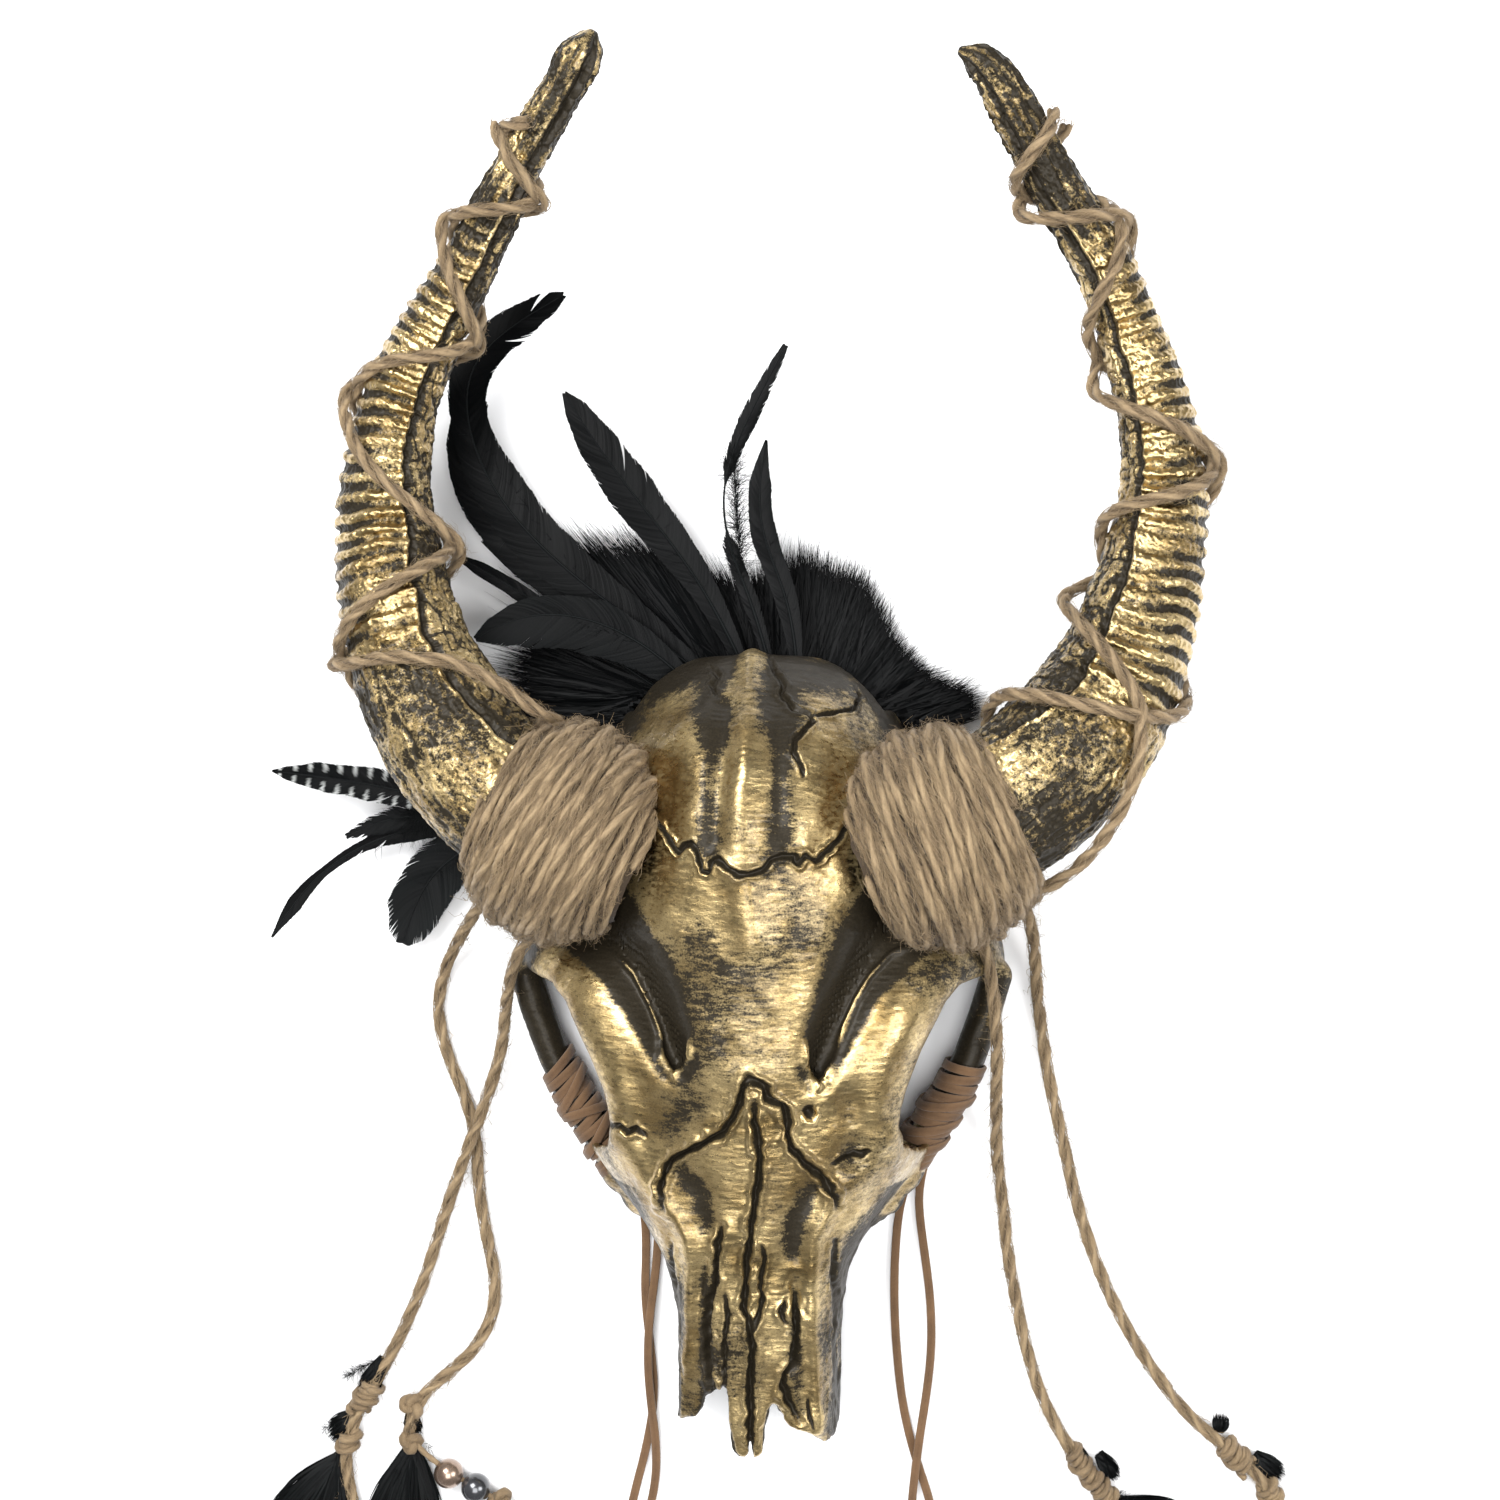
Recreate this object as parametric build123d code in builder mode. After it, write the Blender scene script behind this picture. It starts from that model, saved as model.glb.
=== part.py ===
from build123d import *
import math
import os

# A horned skull mask lying on its open back, face up. Millimetres.
# X across the face, +Y towards the crown, +Z out of the face. The origin is on the plane that
# the back rim rests on, at mid-width, level with the horn roots' upper edge.

os.makedirs("parts", exist_ok=True)

# ---- driving dimensions --------------------------------------------------------------------
wall = 4.0  # cast resin wall of the skull and the horns
clear = 0.3  # gap between pieces that only touch in real life
slice_points = 13  # points on each half-oval slice of the skull

# y, half width of the rim, height of the mid-line, squareness of the slice
skull_stations = [
    (34, 30, 42, 2.2),
    (26, 40, 57, 2.1),
    (16, 48, 70, 2.0),
    (0, 57, 84, 1.9),
    (-18, 65, 90, 1.8),
    (-40, 75, 92, 1.75),
    (-70, 88, 90, 1.75),
    (-90, 87, 87, 1.8),
    (-108, 81, 84, 1.85),
    (-126, 73, 79, 1.9),
    (-144, 60, 74, 2.1),
    (-161, 44, 70, 2.8),
    (-179, 32, 64, 3.5),
    (-197, 29, 60, 3.8),
    (-220, 28, 54, 3.8),
    (-244, 28, 48, 3.8),
    (-268, 28, 42, 3.8),
]
crown_end, muzzle_end = 34, -244  # the last station is beyond the end, and is cut off

rail_top = 4  # the rail that closes the rim behind the crown
window_top, window_start, window_width = 30, 14, 120  # the slot above the rail, for the feathers
lace_gap_top = 7  # the rim is raised here, so that lace passes under the cheek
lace_gap = (-110, -174)

# half outline of an eye opening, mirrored for the other eye
eye_outline = [(92, -79), (74, -79), (65.5, -86), (56.5, -102.7), (51, -116.3), (48.5, -131.5), (54, -139), (92, -139)]
arch_top = 20

# the muzzle's end: x from, x to and the y value that each strip is cut back to
muzzle_notches = [
    (-40, -20, -231), (-20, -11.5, -220), (-11.5, -5.2, -244), (-5.2, -3.6, -236), (-3.6, 2.2, -244),
    (2.2, 11, -223), (11, 40, -241),
]

# the cheek arch: a rounded bar along the outer edge of each eye opening
arch_path = [(83, -84), (76.5, -104), (69, -120), (59, -136), (49, -151)]
arch_z, arch_half_wide, arch_half_high = 13, 6, 8

# x, y, z, radius along each horn
left_horn_stations = [
    (-52.4, -34.4, 62, 24),
    (-67.8, -26.9, 62, 25),
    (-84.2, -16.7, 60, 25.5),
    (-104.9, 6.6, 56, 25.5),
    (-120.3, 37.8, 52, 22),
    (-127.4, 72.7, 50, 18.5),
    (-127.1, 102.2, 50, 15.5),
    (-118.7, 131, 52, 13.3),
    (-105.1, 154.8, 56, 11.3),
    (-90, 180.2, 62, 9.5),
    (-76.5, 204.2, 68, 8.2),
    (-64.5, 221.7, 74, 7.7),
    (-55, 236, 79, 6.2),
    (-52.6, 239.8, 80.4, 3.5),
]
right_horn_stations = [
    (51.1, -35.9, 62, 24),
    (67.9, -28.2, 62, 25.5),
    (85.9, -17.4, 60, 27),
    (108.7, 3, 56, 26.5),
    (126, 32, 52, 22.5),
    (134.8, 61.8, 50, 18.5),
    (138.9, 86.7, 50, 15.5),
    (135.7, 115.5, 52, 13.5),
    (126.9, 142.2, 56, 11.5),
    (114.9, 168.3, 62, 10.5),
    (101.4, 188.3, 68, 9.5),
    (89.4, 209.5, 74, 9.0),
    (80.3, 223.5, 78, 7.8),
    (73.5, 229.5, 79.5, 5.5),
    (68.7, 231.3, 80, 3.0),
]
hollow_last = 10  # the horns are hollow up to this station

plug_radius, plug_length = 17.5, 22  # turned wooden plug glued into the foot of each horn
boss_radius, boss_length = 13, 12  # stub on the skull that the horn seats on
boss_recess = 8  # clear depth behind the stub, for the washer and the screw's head
screw_radius, screw_reach, screw_clearance = 2.0, 16, 0.25
head_radius, head_height = 3.8, 2.6
washer_radius, washer_thickness = 6.0, 1.0

# distance from the horn's foot and radius of the wound ball of jute
binding_profile = [(-16, 22), (-10, 31), (0, 38), (12, 40), (24, 38.5), (34, 33), (41, 27.5)]

twine_diameter = 4.3  # jute
lace_diameter = 2.4  # suede lace, as a round stand-in for a 3 mm flat strip
ply_diameter = 2.0  # one unlaid ply of jute, which carries the beads
bead_radius, bead_hole_radius = 5.4, 1.05
knot_radius, stop_knot_radius = 5.0, 4.4

# Twine up each horn: distance along the horn, and angle round it. 0 is the front, 90 the inner edge.
left_twine_up = [(49, -250), (75, -170), (103, -90), (133, 90), (186, 270), (218, 450), (250, 630),
                 (270, 810), (284, 990), (293, 1080)]
left_twine_down = [(49, 75), (66, 62), (84, 35), (95, -10), (103, -90), (133, -270), (186, -450), (218, -630),
                   (250, -810), (270, -990), (286, -1170)]
right_twine_up = [(49, 150), (60, 90), (98, -90), (149, -270), (169, -450), (222, -630), (256, -810),
                  (280, -990), (296, -1170)]
right_twine_down = [(49, -75), (70, -50), (88, -20), (117, 90), (169, 270), (202, 450), (250, 630),
                    (271, 810), (289, 990)]

# ---- the four jute tails, which hang from the bindings and lie on the ground ----------------
left_outer_route = [
    (-90.5, -43.5, 35), (-98, -52.5, 25), (-105.5, -62, 14), (-112.5, -72.5, 6), (-117.5, -84, 2.8),
    (-118.5, -97.5, 2.7), (-114.5, -112, 2.7), (-108, -126.5, 2.7), (-104, -142, 2.7), (-103.6, -158, 2.7),
    (-100.8, -175, 2.7), (-97.3, -190, 2.7), (-97.6, -204.5, 2.7), (-104.5, -218, 2.7), (-116.5, -228, 3),
    (-126, -236.5, 4.5), (-128.5, -248, 5),
]
left_inner_route = [
    (-76.5, -60, 42), (-83.5, -69.5, 36), (-88.5, -80.5, 27), (-91.5, -92.5, 17), (-93.5, -105, 9),
    (-97, -118, 7.6), (-101.5, -131, 8.6), (-106.5, -143.5, 8.6), (-111.5, -157, 5), (-117, -172.5, 2.7),
    (-122, -189, 2.7), (-129, -207, 2.7), (-137, -223, 3.2), (-146, -237.5, 5), (-152, -254, 5),
    (-150.5, -270, 3.4), (-146, -284, 2.7),
]
right_inner_route = [
    (76, -61, 43), (80, -72, 41), (82, -85, 35), (83.4, -99, 30.5), (83.6, -112, 25), (83.8, -124, 17),
    (84, -136, 8.5), (84.8, -149, 3.4), (86.8, -163, 2.7), (88.2, -179, 2.7), (91, -196, 2.7), (94.5, -213, 2.7),
    (99.5, -230, 2.7), (107.5, -246, 3.2), (116.5, -258.5, 5), (125.5, -269, 5), (133, -282, 3),
]
right_outer_route = [
    (88, -46, 34), (93.5, -54.5, 24), (97, -64.5, 13.5), (98.5, -76, 5.5), (99.4, -89, 2.7), (101.2, -104, 2.7),
    (103.8, -121, 2.7), (107.9, -138, 2.7), (111.6, -156, 2.7), (116.6, -174, 2.7), (122.8, -191, 2.7),
    (131.2, -208, 2.7), (141.4, -224, 2.7), (153, -238.5, 3.2), (166, -249, 5), (177, -258, 5), (184.5, -269.5, 4.6),
    (189, -282, 3),
]
bead_cord_route = [(-126, -250.5, 5.5), (-123.1, -257.2, 5.5), (-93.9, -272.2, 5.5)]

# ---- suede lace ends ------------------------------------------------------------------------
left_lace_outer_route = [
    (-50.5, -151.5, 2.6), (-45.5, -158.5, 2.2), (-42.6, -168, 1.5), (-42.2, -182, 1.5), (-42.8, -198, 1.5),
    (-40.6, -216, 1.5), (-38.9, -234, 1.5), (-41.9, -252, 1.5), (-46.7, -270, 1.5), (-50, -286, 1.5),
    (-50.6, -300, 1.5),
]
left_lace_inner_route = [
    (-46, -151.5, 2.4), (-40.5, -157.5, 1.8), (-37.8, -167, 1.5), (-38, -181, 1.5), (-39.4, -195, 3.4),
    (-41, -208, 4.7), (-41.4, -222, 4.7), (-40.2, -236, 4.7), (-38.4, -250, 3.2), (-38.5, -264, 1.5),
    (-41.6, -278, 1.5), (-44.4, -291, 1.5),
]
right_lace_inner_route = [
    (53.5, -152.5, 2.6), (50.8, -160, 2.2), (48.9, -170, 1.5), (47.8, -185, 1.5), (47.7, -202, 1.5),
    (48.8, -220, 1.5), (50.8, -237, 1.5), (54.6, -253, 1.5), (60.2, -269, 1.5), (63.5, -285, 1.5), (64, -299, 1.5),
]
right_lace_outer_route = [
    (58.5, -149.5, 2.6), (56.6, -157.5, 2.2), (56.8, -168, 1.5), (58.9, -183, 1.5), (60.9, -199, 1.5),
    (61.2, -216, 1.5), (59.4, -231, 3.2), (57, -245, 4.7), (55, -260, 4.7), (53.6, -274, 3), (53.8, -288, 1.5),
]

# ---- feathers -------------------------------------------------------------------------------
feather_thickness = 1.2
# shaft points, half width, height of the underside
crest_feathers = [
    ([(-24, 14), (-60, 38), (-85, 56), (-113, 72)], 4, 13.0),
    ([(-20, 14), (-50, 44), (-80, 61), (-101, 76)], 4, 15.0),
    ([(-8, 12), (-45, 45), (-85, 72), (-106, 100), (-110, 122)], 10, 17.0),
    ([(-2, 12), (-40, 42), (-80, 75), (-102, 108), (-103, 137), (-89, 152), (-70, 163.5)], 10, 19.0),
    ([(2, 12), (-22, 60), (-44, 90), (-60, 112), (-70, 128)], 8.5, 21.0),
    ([(8, 12), (-4, 55), (-12, 80), (-12.5, 92), (-4, 118), (9.6, 144)], 3.6, 22.8),
    ([(14, 12), (9, 55), (1, 80), (0.5, 96), (2.5, 110)], 5, 24.4),
    ([(-14, 12), (-38, 35), (-70, 48), (-88, 46), (-101, 39.5)], 12, 26.0),
]
side_feathers = [
    ([(-73, -26), (-105, -20), (-140, -12.3), (-176.6, -7.2)], 5.5, 16.0),
    ([(-73, -27), (-105, -25), (-130, -24), (-150, -31)], 7, 13.5),
    ([(-73, -28), (-110, -26), (-145, -35), (-164, -49), (-177.6, -67.6)], 4.5, 11.0),
    ([(-73, -30), (-100, -33), (-118, -44), (-130.3, -69.9)], 11, 8.5),
]
hackle_bottom, hackle_height = 5.0, 7.0
hackle_left = [(-6, 38), (-40, 20), (-90, 24), (-86, 48), (-66, 68), (-44, 76), (-28, 68), (-6, 63)]
hackle_right = [(-5, 38), (-5, 63), (14, 73), (36, 64), (50, 41), (60, 28), (80, 20), (78, 12), (52, 20), (30, 38)]


# ---- helpers --------------------------------------------------------------------------------
def mirrored(points):
    return [(-x, y) for x, y in points]


def half_oval(half_width, height, squareness):
    """Points over the top of a slice, from the right-hand rim to the left-hand rim."""
    points = []
    for i in range(slice_points):
        angle = math.pi * i / (slice_points - 1)
        c, s = math.cos(angle), math.sin(angle)
        x = math.copysign(abs(c) ** (2 / squareness), c) * half_width
        points.append((x, abs(s) ** (2 / squareness) * height))
    points[0], points[-1] = (half_width, 0), (-half_width, 0)
    return points


def skull_solid(grow, first, drop):
    """The skull's outer form, made bigger by grow, from a first y value, dropped below its rim."""
    stations = [(first, *skull_stations[0][1:])]
    stations += [s for s in skull_stations if s[0] < first]
    with BuildPart() as form:
        for y, half_width, height, squareness in stations:
            w, h = half_width + grow, height + grow
            base = [(-w, 0), (-w, -drop), (w, -drop), (w, 0)] if drop else [(-w, 0), (w, 0)]
            with BuildSketch(Plane.XZ.offset(-y)):
                with BuildLine():
                    Spline(*half_oval(w, h, squareness))
                    Polyline(*base)
                make_face()
        loft()
    return form.part


def horn_line(stations):
    return Spline(*[s[:3] for s in stations])


def station_lengths(stations):
    lengths = [0.0]
    for a, b in zip(stations, stations[1:]):
        lengths.append(lengths[-1] + math.dist(a[:3], b[:3]))
    return lengths


def horn_frame(stations, line, distance):
    """Centre, tangent and radius of a horn at a distance from its foot."""
    lengths = station_lengths(stations)
    share = min(max(distance / lengths[-1], 0), 1)
    for i in range(len(lengths) - 1):
        if distance <= lengths[i + 1] or i == len(lengths) - 2:
            part = (distance - lengths[i]) / (lengths[i + 1] - lengths[i])
            radius = stations[i][3] + part * (stations[i + 1][3] - stations[i][3])
            return line @ share, line % share, radius


def horn_solid(stations, line, grow, first, last):
    """Round sections lofted along the horn's own line, from one station to another."""
    lengths = station_lengths(stations)
    with BuildPart() as horn:
        for i in range(first, last + 1):
            centre, tangent, radius = horn_frame(stations, line, lengths[i])
            with BuildSketch(Plane(origin=centre, x_dir=(0, 0, 1), z_dir=tangent)):
                Circle(radius + grow)
        loft()
    return horn.part


def foot_plane(stations, distance):
    """Plane square to the horn's root, at a distance from its foot along the root's direction."""
    a, b = Vector(*stations[0][:3]), Vector(*stations[1][:3])
    along = (b - a).normalized()
    return Plane(origin=a + along * distance, x_dir=(0, 0, 1), z_dir=along)


def twine_points(stations, line, marks, side, lift):
    """A winding route round a horn: points every 45 degrees or less between the marks."""
    points = []
    for (d0, a0), (d1, a1) in zip(marks, marks[1:]):
        steps = max(1, math.ceil(abs(a1 - a0) / 45))
        for i in range(steps):
            points.append((d0 + (d1 - d0) * i / steps, a0 + (a1 - a0) * i / steps))
    points.append(marks[-1])
    route = []
    for distance, angle in points:
        centre, tangent, radius = horn_frame(stations, line, distance)
        up = (Vector(0, 0, 1) - tangent * tangent.Z).normalized()
        inward = tangent.cross(up) * side
        reach = (radius + twine_diameter / 2 + clear) / math.cos(math.radians(24)) + lift
        turn = math.radians(angle)
        route.append(centre + up * (reach * math.cos(turn)) + inward * (reach * math.sin(turn)))
    return route


def corner_radii(points):
    """The largest arc that each corner's two runs allow."""
    radii = []
    for a, b, c in zip(points, points[1:], points[2:]):
        a, b, c = Vector(a), Vector(b), Vector(c)
        turn = math.radians((b - a).get_angle(c - b))
        shorter = min((b - a).length, (c - b).length)
        radii.append(0.45 * shorter / math.tan(turn / 2))
    return radii


def cord_tube(name, points, diameter):
    """A round cord along straight runs joined by arcs. Prints its arcs and its volume."""
    radii = corner_radii(points)
    with BuildPart() as tube:
        with BuildLine() as path:
            FilletPolyline(*points, radius=radii)
        wire = path.wires()[0]
        with BuildSketch(Plane(origin=wire @ 0, z_dir=wire % 0)):
            Circle(diameter / 2)
        sweep()
    section = math.pi * diameter**2 / 4
    print(f"{name}: length {wire.length:.0f}, volume ratio {tube.part.volume / (wire.length * section):.4f}, radii",
          [round(r) for r in radii])
    return tube.part


def write(name, part):
    part.label = name
    export_step(part, f"parts/{name}.step")


# ---- skull ----------------------------------------------------------------------------------
left_line, right_line = horn_line(left_horn_stations), horn_line(right_horn_stations)
horns = {"left": (left_horn_stations, left_line, 1), "right": (right_horn_stations, right_line, -1)}

skull_body = skull_solid(0, crown_end, 2)
skull_hollow = skull_solid(-wall, crown_end - wall, 4)

with BuildPart() as skull_shell:
    add(skull_body)
    add(skull_hollow, mode=Mode.SUBTRACT)
    # the rim, cut flat
    with BuildSketch(Plane.XY):
        Rectangle(400, 700)
    extrude(amount=-10, mode=Mode.SUBTRACT)
    # eye openings, cut down to the top of the cheek arches
    for outline in (eye_outline, mirrored(eye_outline)):
        with BuildSketch(Plane.XY.offset(arch_top)):
            with BuildLine():
                Polyline(*outline, close=True)
            make_face()
        extrude(amount=100, mode=Mode.SUBTRACT)
    # the rim is raised beside the cheeks, and the crown has a window over its rail
    with BuildSketch(Plane.XY.offset(-1)):
        with Locations((0, (lace_gap[0] + lace_gap[1]) / 2)):
            Rectangle(200, lace_gap[0] - lace_gap[1])
    extrude(amount=lace_gap_top + 1, mode=Mode.SUBTRACT)
    with BuildSketch(Plane.XY.offset(rail_top)):
        with Locations((0, window_start)):
            Rectangle(window_width, 40, align=(Align.CENTER, Align.MIN))
    extrude(amount=window_top - rail_top, mode=Mode.SUBTRACT)
    # cheek arches
    for side in (1, -1):
        for i, (x, y) in enumerate(arch_path):
            before, after = arch_path[max(i - 1, 0)], arch_path[min(i + 1, len(arch_path) - 1)]
            heading = Vector((after[0] - before[0]) * side, after[1] - before[1], 0)
            with BuildSketch(Plane(origin=(x * side, y, arch_z), x_dir=(0, 0, 1), z_dir=heading)):
                Ellipse(arch_half_high, arch_half_wide)
        loft()
    # the muzzle's end: two outer lobes and two middle fingers with gaps between them
    with BuildSketch(Plane.XY.offset(-1)):
        for x0, x1, y0 in muzzle_notches:
            with BuildLine():
                Polyline((x0, y0), (x1, y0), (x1, -280), (x0, -280), close=True)
            make_face()
    extrude(amount=100, mode=Mode.SUBTRACT)
    # seats for the horns, drilled for their screws and clear behind
    for stations, *_ in horns.values():
        with BuildSketch(foot_plane(stations, -boss_length)):
            Circle(boss_radius)
        extrude(amount=boss_length)
        with BuildSketch(foot_plane(stations, -boss_length - 1)):
            Circle(screw_radius + screw_clearance)
        extrude(amount=boss_length + 2, mode=Mode.SUBTRACT)
        with BuildSketch(foot_plane(stations, -boss_length - boss_recess)):
            Circle(washer_radius + 1)
        extrude(amount=boss_recess, mode=Mode.SUBTRACT)
write("skull_shell", skull_shell.part)

# ---- horns, with their plugs and screws ------------------------------------------------------
skull_outside = skull_solid(clear, crown_end, 0)
horn_outsides = {}
for name, (stations, line, _) in horns.items():
    last = len(stations) - 1
    with BuildPart() as horn:
        add(horn_solid(stations, line, 0, 0, last))
        add(horn_solid(stations, line, -wall, 1, hollow_last), mode=Mode.SUBTRACT)
        with BuildSketch(foot_plane(stations, -1)):
            Circle(plug_radius + 0.1)
        extrude(amount=plug_length + 3, mode=Mode.SUBTRACT)
        add(skull_outside, mode=Mode.SUBTRACT)
    write(f"{name}_horn", horn.part)
    horn_outsides[name] = horn_solid(stations, line, clear, 0, last)

    with BuildPart() as plug:
        with BuildSketch(foot_plane(stations, 0)):
            Circle(plug_radius)
        extrude(amount=plug_length)
        with BuildSketch(foot_plane(stations, -1)):
            Circle(screw_radius + 0.05)
        extrude(amount=screw_reach + 2, mode=Mode.SUBTRACT)
        add(skull_outside, mode=Mode.SUBTRACT)
    write(f"{name}_horn_plug", plug.part)

with BuildPart() as horn_screws:
    for stations, *_ in horns.values():
        under_head = -boss_length - washer_thickness
        with BuildSketch(foot_plane(stations, under_head)):
            Circle(screw_radius)
        extrude(amount=screw_reach - under_head)
        with BuildSketch(foot_plane(stations, under_head - head_height)):
            Circle(head_radius)
        extrude(amount=head_height)
write("horn_screws", horn_screws.part)

with BuildPart() as horn_washers:
    for stations, *_ in horns.values():
        with BuildSketch(foot_plane(stations, -boss_length - washer_thickness)):
            Circle(washer_radius)
            Circle(screw_radius + screw_clearance, mode=Mode.SUBTRACT)
        extrude(amount=washer_thickness)
write("horn_washers", horn_washers.part)

# ---- jute round the horns --------------------------------------------------------------------
for name, (stations, *_) in horns.items():
    with BuildPart() as binding:
        for distance, radius in binding_profile:
            with BuildSketch(foot_plane(stations, distance)):
                Circle(radius)
        loft()
        add(horn_outsides[name], mode=Mode.SUBTRACT)
        add(skull_outside, mode=Mode.SUBTRACT)
        for radius, start, end in ((boss_radius, -20, 2), (plug_radius, -1, plug_length + 1)):
            with BuildSketch(foot_plane(stations, start)):
                Circle(radius + clear)
            extrude(amount=end - start, mode=Mode.SUBTRACT)
    write(f"{name}_horn_binding", binding.part)

twine_routes = {
    "left_horn_twine_up": ("left", left_twine_up, 0),
    "left_horn_twine_down": ("left", left_twine_down, 3.6),
    "right_horn_twine_up": ("right", right_twine_up, 0.4),
    "right_horn_twine_down": ("right", right_twine_down, 3.6),
}
for name, (horn_name, marks, lift) in twine_routes.items():
    stations, line, side = horns[horn_name]
    write(name, cord_tube(name, twine_points(stations, line, marks, side, lift), twine_diameter))

# ---- tails, with their knots and feather tufts ------------------------------------------------
tails = {
    "left_outer_tail": left_outer_route,
    "left_inner_tail": left_inner_route,
    "right_inner_tail": right_inner_route,
    "right_outer_tail": right_outer_route,
}
for name, route in tails.items():
    write(name, cord_tube(name, route, twine_diameter))
write("bead_cord", cord_tube("bead_cord", bead_cord_route, ply_diameter))

knots = {
    "left_outer_knots": [(-126.5, -237.5, 5.4), (-128.3, -247, 5.4)],
    "left_inner_knots": [(-146.3, -238.5, 5.4), (-152, -254, 5.4)],
    "right_inner_knots": [(112, -252.5, 5.4), (120.5, -263, 5.4)],
    "right_outer_knots": [(170.5, -252.5, 5.4), (183, -266.5, 5.4)],
    "bead_stop_knot": [(-94.8, -271.7, 5.5)],
}
for name, places in knots.items():
    with BuildPart() as knot:
        with Locations(*places):
            Sphere(stop_knot_radius if name == "bead_stop_knot" else knot_radius)
    write(name, knot.part)

# each tuft is a flat kite: where it is tied, its tip, and its half width
tufts = {
    "left_outer_tuft": [((-128.6, -253.5), (-133, -308), 13)],
    "left_inner_tuft": [((-139, -221.5), (-147.5, -232.5), 3.5), ((-150, -243.5), (-158.5, -249.5), 4),
                        ((-156, -259), (-177, -304), 13)],
    "right_inner_tuft": [((122, -255), (127.5, -262), 3), ((127.5, -270.5), (160, -296), 13)],
    "right_outer_tuft": [((163.5, -243.5), (164.5, -236), 3), ((178, -250.5), (187.5, -258), 3),
                         ((186.5, -273), (204, -306), 12)],
}
tuft_bottom, tuft_height = 1.2, 5.0
for name, kites in tufts.items():
    with BuildPart() as tuft:
        for foot, tip, half_width in kites:
            a, b = Vector(*foot), Vector(*tip)
            along = (b - a).normalized()
            across = Vector(-along.Y, along.X) * half_width
            widest = a + (b - a) * 0.55
            with BuildSketch(Plane.XY.offset(tuft_bottom)):
                with BuildLine():
                    Polyline(a + across * 0.15, widest + across, b, widest - across, a - across * 0.15, close=True)
                make_face()
            extrude(amount=tuft_height)
    write(name, tuft.part)

bead_heading = Vector(bead_cord_route[2]) - Vector(bead_cord_route[1])
bead_heading = bead_heading.normalized()
bead_places = {"bronze_bead": 10.6, "black_bead": 21.7}
for name, distance in bead_places.items():
    centre = Vector(bead_cord_route[1]) + bead_heading * distance
    with BuildPart() as bead:
        with Locations(Plane(origin=centre, z_dir=bead_heading)):
            Sphere(bead_radius)
            Cylinder(bead_hole_radius, 4 * bead_radius, mode=Mode.SUBTRACT)
    write(name, bead.part)
    print(name, "centre", [round(c, 2) for c in centre], "axis", [round(c, 4) for c in bead_heading])

# ---- suede lace ------------------------------------------------------------------------------
wrap_stations = [(73, -112), (69, -120), (59, -136), (52.2, -146.5)]
lace_build = 3.5  # thickness of the wound lace
for name, side in (("left", -1), ("right", 1)):
    with BuildPart() as wrap:
        for grow, mode in ((lace_build, Mode.ADD), (clear, Mode.SUBTRACT)):
            for i, (x, y) in enumerate(wrap_stations):
                before = wrap_stations[max(i - 1, 0)]
                after = wrap_stations[min(i + 1, len(wrap_stations) - 1)]
                heading = Vector((after[0] - before[0]) * side, after[1] - before[1], 0)
                with BuildSketch(Plane(origin=(x * side, y, arch_z), x_dir=(0, 0, 1), z_dir=heading)):
                    Ellipse(arch_half_high + grow, arch_half_wide + grow)
            loft(mode=mode)
        add(skull_shell.part, mode=Mode.SUBTRACT)
        pieces = wrap.part.solids().sort_by(SortBy.VOLUME)
    write(f"{name}_lace_wrap", Part(pieces[-1].wrapped))

laces = {
    "left_lace_outer_end": left_lace_outer_route,
    "left_lace_inner_end": left_lace_inner_route,
    "right_lace_inner_end": right_lace_inner_route,
    "right_lace_outer_end": right_lace_outer_route,
}
for name, route in laces.items():
    write(name, cord_tube(name, route, lace_diameter))

# ---- feathers --------------------------------------------------------------------------------
def feather_solid(shaft_points, half_width, bottom):
    """A flat blade: narrow at the quill, widest past the middle, pointed at the tip."""
    shaft = Spline(*shaft_points)
    left, right = [], []
    for share in (0, 0.12, 0.3, 0.5, 0.7, 0.85, 0.95):
        centre, along = shaft @ share, shaft % share
        reach = 0.8 + half_width * math.sin(math.pi * share**1.3) ** 0.8
        across = Vector(-along.Y, along.X) * reach
        left.append(centre + across)
        right.append(centre - across)
    tip = shaft @ 1
    with BuildPart() as blade:
        with BuildSketch(Plane.XY.offset(bottom)):
            with BuildLine():
                Spline(*left)
                Polyline(left[-1], tip, right[-1])
                Spline(*reversed(right))
                Line(right[0], left[0])
            make_face()
        extrude(amount=feather_thickness)
    return blade.part


for i, (shaft_points, half_width, bottom) in enumerate(crest_feathers, 1):
    write(f"crest_feather_{i}", feather_solid(shaft_points, half_width, bottom))
for i, (shaft_points, half_width, bottom) in enumerate(side_feathers, 1):
    write(f"side_feather_{i}", feather_solid(shaft_points, half_width, bottom))

for name, outline in (("crest_hackle_left", hackle_left), ("crest_hackle_right", hackle_right)):
    with BuildPart() as hackle:
        with BuildSketch(Plane.XY.offset(hackle_bottom)):
            with BuildLine():
                Polyline(*outline, close=True)
            make_face()
        extrude(amount=hackle_height)
    write(name, hackle.part)

# felt pad that the crest feathers' quills are glued to, under the crown
with BuildPart() as feather_pad:
    with BuildSketch(Plane.XY.offset(window_top)):
        with Locations((-4, 14)):
            RectangleRounded(56, 28, 4)
    extrude(amount=-2.5)
write("feather_pad", feather_pad.part)

# felt pad between the side feathers' quills and the skull's flank
with BuildPart() as side_feather_pad:
    with BuildSketch(Plane.XY.offset(7)):
        with Locations((-70.5, -28)):
            Rectangle(4, 12)
    extrude(amount=12)
    add(skull_outside, mode=Mode.SUBTRACT)
write("side_feather_pad", side_feather_pad.part)
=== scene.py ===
import math
import bmesh
import bpy
import numpy as np
from mathutils import Matrix, Vector


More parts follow.
